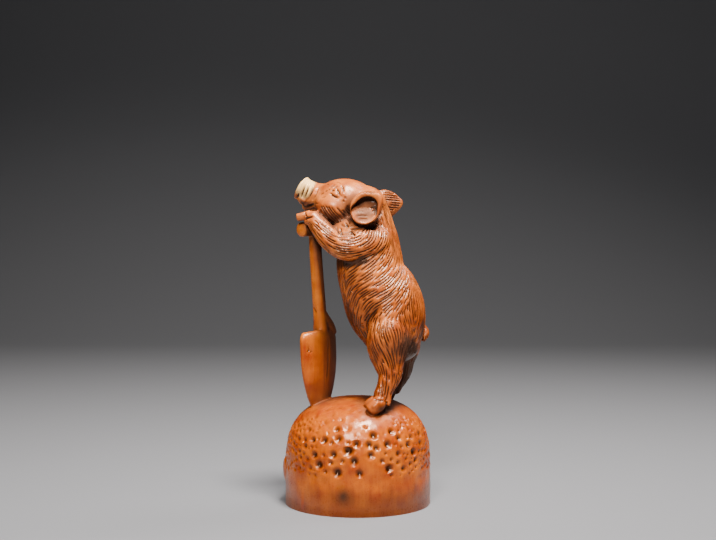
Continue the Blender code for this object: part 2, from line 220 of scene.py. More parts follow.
def thick_sheet(place, normal, thickness, columns, rows):
    """A closed sheet with round edges over place(s, t), where s runs from -1 to 1 and t from 0 to 1."""
    s_values = np.sin(np.linspace(-math.pi / 2, math.pi / 2, columns))
    t_values = 0.5 + 0.5 * np.sin(np.linspace(-math.pi / 2, math.pi / 2, rows))
    shape = bmesh.new()

    def layer(side):
        grid = []
        for t in t_values:
            line = []
            for s in s_values:
                rim = min(1 - abs(s), 2 * t, 2 * (1 - t), rim_share) / rim_share
                half = 0.5 * thickness * math.sqrt(max(1 - (1 - rim) ** 2, 0.02))
                line.append(shape.verts.new(place(s, t) + normal(s, t) * (side * half)))
            grid.append(line)
        return grid

    top, under = layer(1), layer(-1)
    for r in range(rows - 1):
        for c in range(columns - 1):
            for grid in (top, under):
                shape.faces.new((grid[r][c], grid[r][c + 1], grid[r + 1][c + 1], grid[r + 1][c]))
    edge = [(0, c) for c in range(columns - 1)] + [(r, columns - 1) for r in range(rows - 1)]
    edge += [(rows - 1, c) for c in range(columns - 1, 0, -1)] + [(r, 0) for r in range(rows - 1, 0, -1)]
    for (r, c), (r2, c2) in zip(edge, edge[1:] + edge[:1]):
        shape.faces.new((top[r][c], top[r2][c2], under[r2][c2], under[r][c]))
    bmesh.ops.recalc_face_normals(shape, faces=shape.faces)
    return shape


# Rings over the mound's dome, and points round it
dome_rings, mound_points = 40, 256


def mound():
    """The mound: a straight round wall under a dome, started below the underside for the last cut."""
    outline = [(mound_radius, z) for z in (-2, 0, 4, 8, mound_wall_height)]
    for step in range(1, dome_rings):
        radius = mound_radius * math.cos(step / dome_rings * math.pi / 2) ** 0.9
        outline.append((radius, mound_top(radius, 0)))
    turns = np.linspace(0, 2 * math.pi, mound_points, endpoint=False)
    return skin_of_rings(
        [[Vector((r * math.cos(a), r * math.sin(a), z)) for a in turns] for r, z in outline]
    )


def boss():
    """A bare low oval boss on the mound's left wall."""
    return ball_at(Vector((1.6 - mound_radius, 0.0, 10.0)), (2.4, 4.0, 5.4))


# The spade stands on the mound in front of the pig, its crossbar under the trotters
bar_middle = figure_point(-12.3, 0.0, 48.4)
bar_along = Vector((0.67, 0.74, 0)).normalized()
blade_foot = Vector((bar_middle.x + 1.9, bar_middle.y + 0.2, 0))
blade_foot.z = mound_top(blade_foot.x, blade_foot.y)
lean = (bar_middle - blade_foot).normalized()
blade_out = bar_along.cross(lean).normalized()


def blade_place(s, t):
    """A point of the blade's middle skin. s runs across it and t from its foot to its shoulders."""
    taper = max(1 - t / 0.75, 0.0)
    corner = max((t - 0.86) / 0.14, 0.0)
    narrow = 0.6 if s < 0 else 0.8
    half = 0.5 * blade_width * (1 - narrow * taper**2.2) * (1 - 0.16 * corner**3)
    sink = 0.12 * blade_height
    rise = (blade_height + sink) * t - sink - 0.035 * blade_height * s * s
    bow = blade_sagitta * (1 - s * s) * (0.55 + 0.45 * t) - blade_sagitta / 2
    return blade_foot + lean * rise + bar_along * (half * s) + blade_out * bow


def blade_normal(s, t):
    slope = 4 * blade_sagitta / blade_width * s
    return (blade_out + bar_along * slope).normalized()


def spade():
    """The blade, its socket, the shaft and the crossbar."""
    shaft = [
        (320.9, 345, 1.2, 1, 1),
        (320.7, 336, 1, 1.7, 1.9),
        (320.6, 328, 0.9, 2.05, 2.3),
        (320.2, 321, 0.8, 1.95, 2),
        (319.1, 303, 0.6, 0.93 * shaft_radius, 0.93 * shaft_radius),
        (315.9, 256, 0.2, 0.88 * shaft_radius, 0.88 * shaft_radius),
        (314.7, 229, 0, 0.88 * shaft_radius, 0.88 * shaft_radius),
    ]
    web = [
        (321.5, 313, 0.6, 1.5, 1.5),
        (325.3, 320, 1.8, 1.7, 1.5),
        (330, 326.5, 3.4, 1.6, 1.2),
        (333, 333, 4.4, 1.3, 1),
    ]
    half = bar_along * (crossbar_length / 2 - crossbar_radius * 0.3)
    bar = [
        (*(bar_middle - half), crossbar_radius * 1.12, crossbar_radius * 1.12),
        (*bar_middle, crossbar_radius / 1.05, crossbar_radius / 1.05),
        (*(bar_middle + half), crossbar_radius, crossbar_radius),
    ]
    stem, socket = (seen_limb(line, across=tuple(blade_out)) for line in (shaft, web))
    blade = thick_sheet(blade_place, blade_normal, blade_thickness, 61, 71)
    return [stem, limb(bar, (0, 0, 1), tip=0.35), blade, socket]


# Stations of the figure: x, y, z over the mound's crown, half width front to back, half width across
torso_line = (
    (10.9, -1.3, 13.5, 6.8, 8.4), (10, -1.2, 18.9, 9.6, 10.3), (8.6, -1.1, 23.9, 11.1, 11.3),
    (6.5, -1, 29.4, 11.2, 11.6), (3.9, -0.8, 35.4, 9.8, 11), (3.3, -0.5, 40.4, 9.5, 10.4),
    (3.2, -0.2, 45.4, 8.6, 9.5), (2.9, 0.2, 50.4, 7.2, 8.3), (2.2, 0.6, 54.9, 6.3, 7.4),
)
near_leg_line = (
    (9.4, -6.9, 23.6, 5.8, 4.2), (9.1, -7.6, 18.4, 6.5, 5.2), (8.5, -8.7, 13.6, 5.7, 4.8),
    (8.8, -9.4, 10.2, 4.4, 3.9), (9, -10.1, 7.4, 3.5, 3.4), (8.2, -10.8, 5, 2.9, 2.9),
    (7.4, -11.2, 3.2, 2.6, 2.7), (6.6, -11.7, 1.5, 2.6, 2.6),
)
far_leg_line = (
    (12.3, 4.6, 23.6, 5.8, 4.2), (12.2, 5.4, 18.4, 6.5, 5.2), (12.1, 6.5, 13.6, 6.2, 4.8),
    (11.9, 7.3, 10, 5.1, 4), (11.9, 7.9, 6.8, 4.2, 3.5), (11.2, 8.3, 4.4, 3.5, 3),
    (10.5, 8.5, 2.8, 3.1, 2.8), (9.9, 8.7, 1.2, 2.9, 2.7),
)
near_arm_line = (
    (6.2, -4.6, 47.8, 3.8, 2.6), (4.2, -7.6, 45.6, 4.8, 3.6), (0.4, -9.1, 44, 4.6, 3.8),
    (-3.8, -9.3, 43.6, 4, 3.7), (-7.5, -8.4, 45.4, 3.4, 3.3), (-10.4, -7.1, 48.6, 3, 2.9),
    (-13, -5.9, 52, 2.3, 2.5),
)
far_arm_line = (
    (7.6, 3.8, 47.8, 3.6, 2.6), (6.8, 7.3, 45.6, 4.8, 3.6), (3.2, 9, 44, 4.6, 3.8),
    (-0.8, 9.4, 43.6, 4, 3.7), (-4.4, 8.2, 45.4, 3.4, 3.3), (-7.4, 6.4, 48.6, 3, 2.9),
    (-9.8, 5, 51.8, 2.3, 2.5),
)
tail_line = (
    (420.5, 326, 0.8, 1.3, 1.6), (425.2, 330.4, 0.6, 1, 1.3), (425.9, 335, 0, 0.95, 1.2),
    (423.2, 339.4, -0.6, 0.85, 1),
)
head_yaw = 0.24
snout_line = (
    (-8.4, 2.2, 56.4, 5.8, 6), (-11.6, 2.9, 57.8, 4.3, 4.4), (-13.7, 3.4, 58.8, 3.7, 3.8),
    (-15.3, 3.8, 59.8, 3.45, 3.6), (-16.1, 4, 60.3, 3.5, 3.7),
)
jaw_line = (
    (-5, 1.4, 53.8, 3.6, 5.8), (-9, 2.3, 54, 3, 4.4), (-12.8, 3.2, 54.8, 1.8, 2.8),
    (-15.6, 3.7, 55.1, 1.2, 2),
)


# Hooves, drawn on the picture: pixels, planes and half widths
near_toes = (
    ((381.5, 400, -12.7, 1.9, 1.7), (376.6, 405.3, -13.5, 2.25, 1.8), (370.3, 410.2, -13.9, 1.85, 1.6)),
    ((377.5, 399.5, -10.4, 1.7, 1.5), (372.6, 403.8, -10.6, 2, 1.7), (368.6, 408, -10.8, 1.8, 1.5)),
)
near_dewclaw = ((388.6, 396, -12.6, 0.95, 0.9), (388.5, 404.6, -13, 0.72, 0.8))
far_toes = (
    ((390.5, 391, 7.2, 1.9, 1.7), (386.5, 396, 7, 2.2, 1.8), (382, 398.5, 6.9, 2, 1.7)),
    ((390.5, 390, 10.2, 1.9, 1.6), (385.5, 394, 10.4, 2.2, 1.8), (380.5, 396.5, 10.6, 2, 1.7)),
)


def hooves():
    """Two squarish toes to each foot, and the near foot's dewclaw."""
    forms = [seen_limb(toe, tip=0.5, square=0.85) for toe in near_toes + far_toes]
    return forms + [seen_limb(near_dewclaw)]


# The toes of the hands over the crossbar, drawn on the picture: pixels, planes and half widths
near_fingers = (
    ((310.5, 214.4, -5.8, 1.3, 1.4), (305.5, 215.8, -5.6, 1.2, 1.4), (297.6, 217.6, -5.2, 1.12, 1.3)),
    ((316, 220.6, -7.5, 0.9, 1.1), (312, 220.6, -7.5, 0.95, 1.1), (308, 221.2, -7.3, 0.75, 1)),
)
far_fingers = (
    ((317, 215, 5.2, 1.4, 1.4), (310, 217, 5.2, 1.2, 1.3), (305, 218.5, 5.2, 1.1, 1.2)),
    ((317, 217, 8, 1.2, 1.3), (311, 218.5, 8.2, 1.1, 1.2), (306.5, 220, 8.4, 1, 1.1)),
)


def hand(wrist, fingers):
    """A trotter: a short pastern and two square toes that lie over the crossbar."""
    x, y, z = wrist
    forms = [
        figure_limb(((x + 0.8, y, z - 0.4, 2.1, 2.3), (x - 1.8, y + 0.2, z + 0.3, 1.6, 2.0))),
        ball((x - 1.2, y - 0.2, z - 1.2), (1.5, 1.9, 1.3)),
    ]
    return forms + [seen_limb(finger, across=(0, 1, 0), tip=0.12, square=0.7) for finger in fingers]


# The near ear, drawn on the picture: rings of pixels round its outer edge, its rim's crest and the
# foot of the rim inside, each with the same count
ear_middle = (365, 209)
ear_edge = (
    (349.8, 207.2), (351, 202), (354.6, 196.8), (360, 192.4), (366, 190.9), (372.4, 190.9),
    (379, 192.8), (382.8, 197.6), (383.4, 203), (382.2, 207.6), (381.4, 211), (379.6, 215.4),
    (376, 219.6), (371, 223), (364.6, 224.6), (358, 223.8), (353.6, 220.4), (351.2, 215.6),
    (350, 211),
)
ear_crest = (
    (350.4, 207.5), (352.2, 202.4), (356, 197.4), (361, 193.8), (366.2, 192.4), (371.6, 192.6),
    (377.4, 194.4), (380.8, 199), (381, 203.5), (379.6, 207.8), (378.8, 211), (377.6, 215),
    (374.4, 219.2), (369.8, 222.4), (364, 224), (358, 223.2), (353.8, 219.9), (351.4, 215.2),
    (350.3, 211),
)
ear_foot = (
    (351.4, 207.6), (354.8, 204), (358.8, 200.2), (362.6, 197.6), (366.8, 196.6), (371, 197),
    (374.8, 199.2), (376.8, 202.2), (377.4, 205.2), (377.2, 208.4), (377, 211), (376.4, 214.6),
    (373.4, 218.6), (369, 221.8), (363.6, 223.4), (358.2, 222.6), (354.4, 219.4), (352, 214.8),
    (350.9, 211),
)
ear_floor = ((197, -9), (203, -9.2), (206, -9.7), (209, -10.2), (213, -10.7), (224, -11.3))


def ear_cup():
    """The near ear: a scoop whose floor slopes from deep under the upper rim out to the lower edge."""
    heights, depths = zip(*ear_floor)

    def ring(pixels, share, y):
        looped = smooth_path(pixels[-2:] + pixels + pixels[:2], 4)[8:-8]
        places = np.array(ear_middle) + share * (looped[:-1] - ear_middle)
        return [seen(u, v, np.interp(v, heights, depths) if y is None else y) for u, v in places]

    return skin_of_rings([
        ring(ear_edge, 0.70, -5.5), ring(ear_edge, 0.94, -8), ring(ear_edge, 1, -9.4),
        ring(ear_edge, 1, -10.6), ring(ear_crest, 1, -11.5), ring(ear_foot, 1.02, -11.3),
        ring(ear_foot, 0.99, None), ring(ear_foot, 0.66, None), ring(ear_foot, 0.33, None),
    ])


# The far ear: a thick leaf whose back is seen
far_ear_leaf = (
    (378, 204.5, 7.6, 4, 2.2), (384, 204.2, 7.9, 4.3, 2), (389, 203.8, 8.1, 4.1, 1.7),
    (394, 203.3, 8.3, 3.3, 1.4), (398.6, 202.9, 8.4, 2.1, 1.1), (402, 202.4, 8.5, 0.9, 0.7),
)


def ears():
    """The cupped near ear, and the far ear."""
    return [ear_cup(), seen_limb(far_ear_leaf, across=(0, 1, 0), tip=0.3)]


def soft_forms():
    """The forms that melt into each other: body, limbs and the bulk of the head."""
    forms = [figure_limb(torso_line)]
    forms += [ball((8.6, -8.6, 16.8), (6.3, 5.2, 8.6)), ball((11.6, 6.4, 16.8), (5.9, 4.9, 8))]
    for line in (near_leg_line, far_leg_line, near_arm_line, far_arm_line):
        forms.append(figure_limb(line))
    forms += [
        ball((-4.2, 0.9, 56.5), (9, 8, 6.6), head_yaw, -0.05),
        ball((1.6, 0.2, 55), (7, 7.6, 6.2), head_yaw, 0.15),
        ball((-7, -3.6, 54.4), (5.4, 4, 4.3), head_yaw, 0.35),
        ball((-5.2, 6, 54.4), (5.4, 4, 4.3), head_yaw, 0.35),
        figure_limb(snout_line, tip=0.15),
        figure_limb(jaw_line),
        ball((-2, -6.2, 47.6), (5.6, 3.9, 4.3), head_yaw),
        ball((0.8, 6.8, 47.6), (5.6, 3.9, 4.3), head_yaw),
    ]
    return forms


def crisp_forms():
    """The forms that keep their edges: mound, spade, hooves, hands, ears, snout disc and tail."""
    forms = [mound(), boss(), *spade(), seen_limb(tail_line)]
    forms += hooves()
    forms += hand((-12.6, -5.9, 51.9), near_fingers) + hand((-9.6, 4.6, 51.9), far_fingers)
    forms += [
        ball((-15.2, 3.6, 57.4), (2.5, 3.3, 2.1), head_yaw, 0.2),
        ball((-16.4, 4.05, 60.4), (0.8, 3.7, 3.7), head_yaw, 0.54),
    ]
    return forms + ears()


def evaluated(thing):
    """The object's mesh with its modifiers applied, and the object itself taken away."""
    mesh = bpy.data.meshes.new_from_object(thing.evaluated_get(bpy.context.evaluated_depsgraph_get()))
    old = thing.data
    bpy.data.objects.remove(thing)
    bpy.data.meshes.remove(old)
    return mesh


def object_of(mesh, name):
    thing = bpy.data.objects.new(name, mesh)
    bpy.context.scene.collection.objects.link(thing)
    return thing


def one_skin(forms, voxel, iterations):
    """All forms as one mesh, by a voxel remesh, softened where they meet."""
    block = bmesh.new()
    for form in forms:
        piece = form
        if isinstance(form, bmesh.types.BMesh):
            piece = bpy.data.meshes.new("form")
            form.to_mesh(piece)
            form.free()
        block.from_mesh(piece)
        bpy.data.meshes.remove(piece)
    mesh = bpy.data.meshes.new("block")
    block.to_mesh(mesh)
    block.free()
    blank = object_of(mesh, "block")
    remesh = blank.modifiers.new("one skin", "REMESH")
    remesh.mode = "VOXEL"
    remesh.voxel_size = voxel
    soften = blank.modifiers.new("soften", "SMOOTH")
    soften.factor = 0.5
    soften.iterations = iterations
    return evaluated(blank)


# Sculpting


def points_of(mesh):
    points, normals = np.empty(len(mesh.vertices) * 3), np.empty(len(mesh.vertices) * 3)
    mesh.vertices.foreach_get("co", points)
    mesh.vertex_normals.foreach_get("vector", normals)
    return points.reshape(-1, 3), normals.reshape(-1, 3)


def from_stretch(points, a, b, span):
    """How far along a stretch of that span each point is, and its way from there."""
    t = np.clip((points - a) @ (b - a) / max(span**2, 1e-9), 0, 1)
    return t, points - a - t[:, None] * (b - a)


def aside_of(points, start, end):
    """The way of each point from the stretch between two places."""
    a, b = np.array(start), np.array(end)
    return from_stretch(points, a, b, np.linalg.norm(b - a))[1]


class Skin:
    """The fine skin while it is sculpted: its points, the normals it started with and its relief."""

    def __init__(self, mesh):
        self.mesh = mesh
        self.points, self.normals = points_of(mesh)
        self.start = self.points.copy()
        self.relief = np.zeros(len(self.points))
        corners = np.empty(len(mesh.loops), np.int32)
        mesh.loops.foreach_get("vertex_index", corners)
        self.tree = BVHTree.FromPolygons(self.points.tolist(), corners.reshape(-1, 4).tolist())

    def at(self, u, v):
        """The place of the skin that the picture shows at a pixel, or the nearest to it."""
        place = self.tree.ray_cast(eye, sight(u, v))[0]
        if place is None:
            beside = self.nearest(seen(u, v, 0))
            place = self.nearest(seen(u, v, beside.y))
        return place

    def nearest(self, place):
        return self.tree.find_nearest(place)[0]

    def press(self, line, width, depth, sharpness=1.3, ends=0.3, shade=1.0, cut=True):
        """Groove along a line of places, or a ridge where depth is below zero; uncut, it only paints shade.
        """
        line = np.array(line, float)
        within = (self.start > line.min(0) - width) & (self.start < line.max(0) + width)
        index = np.nonzero(within.all(1))[0]
        places = self.start[index]
        best = np.full(len(index), 1e9)
        where = np.zeros(len(index))
        spans = np.linalg.norm(np.diff(line, axis=0), axis=1)
        total, run = spans.sum(), 0.0
        for a, b, span in zip(line, line[1:], spans):
            t, gap = from_stretch(places, a, b, span)
            distance = np.linalg.norm(gap, axis=1)
            closer = distance < best
            best[closer] = distance[closer]
            where[closer] = (run + t[closer] * span) / total
            run += span
        fade = np.clip(np.minimum(where, 1 - where) / ends, 0, 1) ** 0.7 if ends else 1.0
        push = depth * np.clip(1 - best / width, 0, 1) ** sharpness * fade
        if cut:
            self.points[index] -= self.normals[index] * push[:, None]
        self.relief[index] -= push * shade

    def swell(self, place, reach, height):
        """Raise a soft round bulge."""
        distance = np.linalg.norm(self.start - np.array(place), axis=1)
        index = np.nonzero(distance < reach)[0]
        push = height * (1 - (distance[index] / reach) ** 2) ** 2
        self.points[index] += self.normals[index] * push[:, None]

    def finish(self, regions):
        """The sculpted mesh, with its relief and the share of each region kept on its points."""
        self.mesh.vertices.foreach_set("co", self.points.ravel())
        for name, values in (("relief", self.relief), *regions.items()):
            layer = self.mesh.attributes.new(name, "FLOAT", "POINT")
            layer.data.foreach_set("value", values)
        self.mesh.update()
        return self.mesh


# The planes that part the near side of head and body from the far side
head_middle = figure_point(-4.2, 0.9, 56.5)
head_side = Vector((0.25, 0.968, 0)).normalized()
body_middle = figure_point(10.0, -1.1, 20.0)
body_side = Vector((0.24, 0.97, 0)).normalized()


def mirrored(place, middle, side):
    return place - side * (2 * (place - middle).dot(side))


def smooth_line(places):
    return smooth_path([tuple(p) for p in places], 5)


# Cuts of the face: the pixels they pass, half width, depth and how much painted shade they take
face_cuts = (
    # the snout's disc and folds
    (((307.4, 180.5), (303.4, 190.5), (299.4, 200)), 0.6, 0.52, 0.8),
    (((303.6, 180.6), (300.4, 187.6), (297.4, 195)), 0.9, -0.45, 0.0),
    (((308.2, 181.8), (305.6, 189), (302.8, 197)), 0.55, -0.34, 0.0),
    (((311.6, 181), (307.4, 190.4), (303.4, 200.4)), 0.6, 0.52, 0.8),
    (((312.2, 184.6), (309.4, 191), (306.6, 198.2)), 0.55, -0.40, 0.0),
    (((315.6, 183.6), (311.6, 192), (307.6, 201)), 0.6, 0.50, 0.8),
    (((316.6, 187.4), (313.8, 192.8), (311.2, 198.6)), 0.55, -0.24, 0.0),
    (((320, 185.6), (316, 193.6), (312.4, 201)), 0.6, 0.40, 0.6),
    (((299.4, 192.6), (298, 195.6), (296.8, 198.6)), 0.5, 0.60, 0.8),
    (((300.6, 199.8), (304, 201.4), (308, 201.2), (312, 199.6)), 0.8, -0.3, 0.0),
    # mouth
    (((297.2, 202), (300, 204), (303, 206), (305.5, 207), (309, 206), (312, 204.8), (314, 203.3)),
     0.6, 0.70, 1.0),
    (((314, 203.5), (317, 203.6), (320, 203.4)), 0.4, 0.14, 1.0),
    (((300, 209.8), (304, 210.6), (308, 210.1), (313, 208.5), (318, 209.6)), 0.5, 0.35, 1.0),
    # eye
    (((329.5, 192.6), (331.5, 194.6), (334, 196.4), (336.6, 197.2), (339.4, 197.4)), 0.42, 0.46, 1.0),
    (((336.6, 188.2), (338, 191.5), (339.9, 195.7)), 0.40, 0.52, 1.0),
    (((341.4, 185.2), (343.2, 189), (343.6, 193.4)), 0.44, 0.40, 1.0),
    (((332.5, 192.5), (335.4, 194.4), (337.8, 193.4)), 1.0, -0.30, 0.0),
    (((340.4, 188.5), (341.6, 192), (341.8, 196)), 0.8, -0.34, 0.0),
    (((344.4, 195.6), (345.9, 199.6)), 0.4, 0.32, 1.0),
    (((342.6, 200), (344.6, 202.2)), 0.4, 0.32, 1.0),
    (((329.5, 187.8), (332.2, 186.2), (335, 184.4)), 0.4, 0.36, 1.0),
    (((333.4, 188.6), (335.6, 186.9), (338, 186)), 0.4, 0.30, 1.0),
    (((330.6, 191.2), (332.6, 190.4), (334.8, 190.8)), 0.4, 0.36, 1.0),
    (((328, 189.9), (330, 189.2)), 0.4, 0.30, 1.0),
    (((324.6, 192.2), (326.4, 190.9), (328, 190.1)), 0.4, 0.28, 1.0),
    (((320.3, 194.8), (322.2, 193.8), (324.4, 192.7)), 0.4, 0.24, 1.0),
    (((321, 198), (323.6, 197), (326.4, 196.6)), 0.4, 0.24, 1.0),
    (((326.4, 184), (328.8, 184.8)), 0.4, 0.24, 1.0),
    (((336, 181.6), (339, 182.4), (341.6, 184)), 0.4, 0.22, 1.0),
    (((346, 186), (348.4, 190), (348.6, 195)), 0.9, 0.14, 1.0),
)

# Cuts of the near side: pixels, half width, depth, sharpness and how much painted shade they take
body_cuts = (
    # the thigh's front edge, and the crease of the arm under the cheek
    (((365.8, 340), (365, 333), (365.4, 326), (368.6, 318.6), (374.4, 312.4), (382, 307.6)),
     2.0, 0.95, 1.3, 0.12),
    (((314, 209.6), (320, 211.6), (325.6, 216), (330, 220.4), (334.6, 223.6)), 0.5, 0.50, 1.0, 0.5),
    (((335, 223), (339.4, 221.4), (343.4, 219), (346.6, 215.6)), 0.6, 0.50, 1.0, 0.5),
    # under the ear, and between the ear and the neck
    (((365.4, 226.4), (369.4, 227.4), (373.6, 225.6)), 1.1, 1.5, 0.8, 0.6),
    (((370.4, 228.4), (373.6, 227.6), (375.4, 224)), 0.9, 1.2, 0.8, 0.6),
    (((350.2, 213), (351.8, 219), (355.2, 223.4), (360.6, 226)), 0.5, 0.45, 1.0, 0.6),
    (((382.6, 205.6), (382.2, 210), (379.6, 215.6), (376.2, 220)), 0.6, 0.50, 1.0, 0.6),
    # fine lines of the ear's floor, and the shade under its upper rim
    (((354.4, 212.4), (359, 211.4), (364, 212)), 0.3, 0.10, 1.0, 0.8),
    (((356.4, 216.2), (362, 215.6), (368, 216.4)), 0.3, 0.10, 1.0, 0.8),
    (((358.6, 219.4), (363.6, 219.2), (368.4, 219.6)), 0.3, 0.10, 1.0, 0.8),
    (((354.6, 206.4), (358, 203), (362, 200.6), (366.6, 199.6), (371, 200.4), (374.6, 203)),
     1.5, 0.14, 0.8, 2.0),
    # the curl of the flap, and its bright edge
    (((370.6, 208.6), (372.6, 207.2), (375.2, 207.6), (376.8, 210.2), (376.4, 213.4), (374.4, 216)),
     0.45, 0.36, 1.1, 1.0),
    (((372.4, 212), (374, 210.4), (375.2, 211.6), (374.6, 213.6)), 0.36, 0.30, 1.1, 1.0),
    (((352.4, 213), (354.2, 218), (357.6, 221.4), (362, 223.2), (366.4, 223.2), (370.4, 221)),
     0.5, -0.22, 1.0, 0.6),
    # wrinkles of the arm's crook
    (((336.4, 227), (338, 231), (338.9, 235.5)), 0.42, 0.34, 1.1, 1.0),
    (((340, 227.6), (341.2, 231.4), (341.6, 235.8)), 0.42, 0.36, 1.1, 1.0),
    (((350.4, 231.2), (353, 234), (356, 236.4)), 0.42, 0.36, 1.1, 1.0),
    (((344.6, 222.4), (347, 225), (347.6, 228)), 0.42, 0.30, 1.1, 1.0),
    (((346.4, 217.6), (349, 221), (350, 224.4)), 0.42, 0.30, 1.1, 1.0),
    (((340, 224), (344, 226), (349, 226.2)), 0.7, 0.30, 1.1, 0.8),
    (((357.4, 231.4), (358.2, 233.4)), 0.42, 0.26, 1.1, 1.0),
    # the coronet and cleft of the hand, and the dark gap over the crossbar
    (((304.9, 212), (305.6, 215), (307, 217.8)), 0.4, 0.34, 1.1, 1.0),
    (((305, 220.2), (307, 218.2), (310, 217.4), (313.6, 216)), 0.45, 0.42, 1.1, 1.0),
    # the near hoof: coronet, front ridge and cleft
    (((371.6, 398.6), (375.5, 399.6), (380, 400.4), (386, 401.6)), 0.42, 0.38, 1.0, 1.0),
    (((379, 401.6), (375.8, 405), (372.6, 408.6)), 0.9, -0.30, 1.0, 0.0),
    (((386.6, 399), (386.6, 403), (386.2, 407)), 0.42, 0.40, 1.0, 1.0),
    # the spade: the blade's crease, its soft facet, a notch in the shaft and a chip
    (((328.4, 336), (328.6, 352), (328.2, 368), (326.4, 384)), 0.6, 0.26, 1.1, 0.9),
    (((314.6, 334), (313.4, 350), (313.8, 368), (315.6, 384)), 1.6, -0.16, 1.3, 0.0),
    (((313.2, 306.6), (314.8, 309.6), (317, 313)), 0.4, 0.24, 1.1, 1.0),
    (((308.4, 350.6), (308.9, 351.4)), 0.5, 0.45, 1.0, 1.0),
    (((310.8, 351.6), (311.2, 352.2)), 0.4, 0.35, 1.0, 1.0),
)


# Painted shade, where shadow falls and where surfaces turn from the light: pixels, half width and how dark
painted_shade_lines = (
    (((416, 342), (412, 350), (409.5, 358), (409, 366), (409, 376), (405, 386), (400, 394)), 4.4, 0.44),
    (((406.5, 336), (407, 346), (406, 356)), 1.6, 0.22),
    (((313.5, 234), (314.5, 242), (315.5, 250)), 2.4, 0.26),
    (((342, 262), (352, 262.5), (361, 260.5), (369, 257)), 1.5, 0.36),
    (((346, 300), (351, 316), (358, 330), (364, 340)), 2.6, 0.12),
    (((331.5, 338), (332, 352), (331.5, 368), (329, 384)), 1.5, 0.16),
    (((355, 214), (363, 214), (372, 213)), 3.4, 0.20),
    (((372, 203), (375, 209), (373, 216)), 1.4, 0.16),
    (((376, 407), (382, 409), (389, 407)), 1.6, 0.30),
    (((421, 318), (423, 328), (420, 340)), 2.0, 0.16),
)
# Where a limb swells out of the flank: pixel, reach and height
swellings = ((388, 331, 8.0, 1.15), (342, 246, 6.0, 0.5))


def sculpt_body(skin):
    """Swellings, edges, creases, wrinkles and painted shade of the near side."""
    for u, v, reach, height in swellings:
        skin.swell(skin.at(u, v), reach, height)
    # Painted shade: these lines only darken the colour and cut nothing
    for pixels, width, darkness in painted_shade_lines:
        line = smooth_line([skin.at(u, v) for u, v in pixels])
        skin.press(line, width, darkness, 0.6, ends=0.15, cut=False)
    for pixels, width, depth, sharpness, shade in body_cuts:
        line = smooth_line([skin.at(u, v) for u, v in pixels])
        skin.press(line, width, depth, sharpness, ends=0.2, shade=shade)


def sculpt_face(skin):
    """Folds of the snout, the mouth, the eyes and the wrinkles, on both sides of the head."""
    for pixels, width, depth, shade in face_cuts:
        line = [skin.at(u, v) for u, v in pixels]
        other = [skin.nearest(mirrored(p, head_middle, head_side)) for p in line]
        for places in (line, other):
            skin.press(smooth_line(places), width, depth, shade=shade)


# The middle of the snout's disc, and the nostrils in it
disc_middle = figure_point(-17.0, 4.2, 60.8)
nostril_side = 1.35
nostril_half_width = 0.8
nostril_depth = 0.9


def sculpt_nostrils(skin):
    """Two upright nostrils in the snout's disc."""
    for side in (-nostril_side, nostril_side):
        middle = disc_middle + head_side * side
        line = [skin.nearest(middle + Vector((0.3 * rise, 0, rise))) for rise in (-0.6, 0.1, 0.8)]
        skin.press(line, nostril_half_width, nostril_depth, 0.8, ends=0, shade=0.4)


# The ends of the pale snout on the picture, and how far pale wood reaches from the line between them
pale_ends = (307.5, 181.5), (304.0, 190.5)
pale_reach = 2.7
pale_fade = 0.9
# How far the pig's wood keeps off mound, shaft and crossbar, and the place and height of its front
off_mound, off_shaft, off_crossbar = 0.35, 0.6, 0.25
front_place, front_height = -4.2, 55.0


def away_from(points, start, end, least):
    """Whether each point is further than that from the stretch between two places."""
    return np.linalg.norm(aside_of(points, start, end), axis=1) > least


def regions_of(points):
    """The share of the pig, and of the bare pale snout, at each point."""
    x, y, z = points.T
    pig = z > mound_top(x, y) + off_mound
    pig &= away_from(points, blade_foot, bar_middle, shaft_radius + off_shaft)
    half = bar_along * (crossbar_length / 2)
    pig &= away_from(points, bar_middle - half, bar_middle + half, crossbar_radius + off_crossbar)
    pig &= (x > front_place) | (z > front_height)
    top, foot = (seen(u, v, 2) for u, v in pale_ends)
    gap = np.linalg.norm(aside_of(points, top, foot) * (1, 0, 1), axis=1)
    pale = np.clip((pale_reach - gap) / pale_fade, 0, 1)
    return {"pig": pig.astype(float), "pale": pale * pig}


# How far the painted shade looks for cover, in how many ways, and from one point of the skin in how many
shelter_reach = 15.0
shelter_rays = 40
shelter_sampling = 9
# Where its rays start over the skin, and the flattest of them that count
shelter_start, flattest_ray = 0.4, 0.15


def shelter_of(skin):
    """Places all over the skin, each with the share of its surroundings that is covered, which the material
    paints as shade.
    """
    turns = math.pi * (3 - math.sqrt(5))
    ways = []
    for i in range(shelter_rays):
        z = 1 - (2 * i + 1) / shelter_rays
        side = math.sqrt(1 - z * z)
        ways.append(Vector((side * math.cos(turns * i), side * math.sin(turns * i), z)))
    found = []
    for place, normal in zip(skin.start[::shelter_sampling], skin.normals[::shelter_sampling]):
        out = Vector(normal)
        start = Vector(place) + out * shelter_start
        covered = total = 0.0
        for way in ways:
            weight = way.dot(out)
            if weight > flattest_ray:
                total += weight
                if skin.tree.ray_cast(start, way, shelter_reach)[0] is not None:
                    covered += weight
        found.append((place, covered / max(total, 1e-9)))
    return found


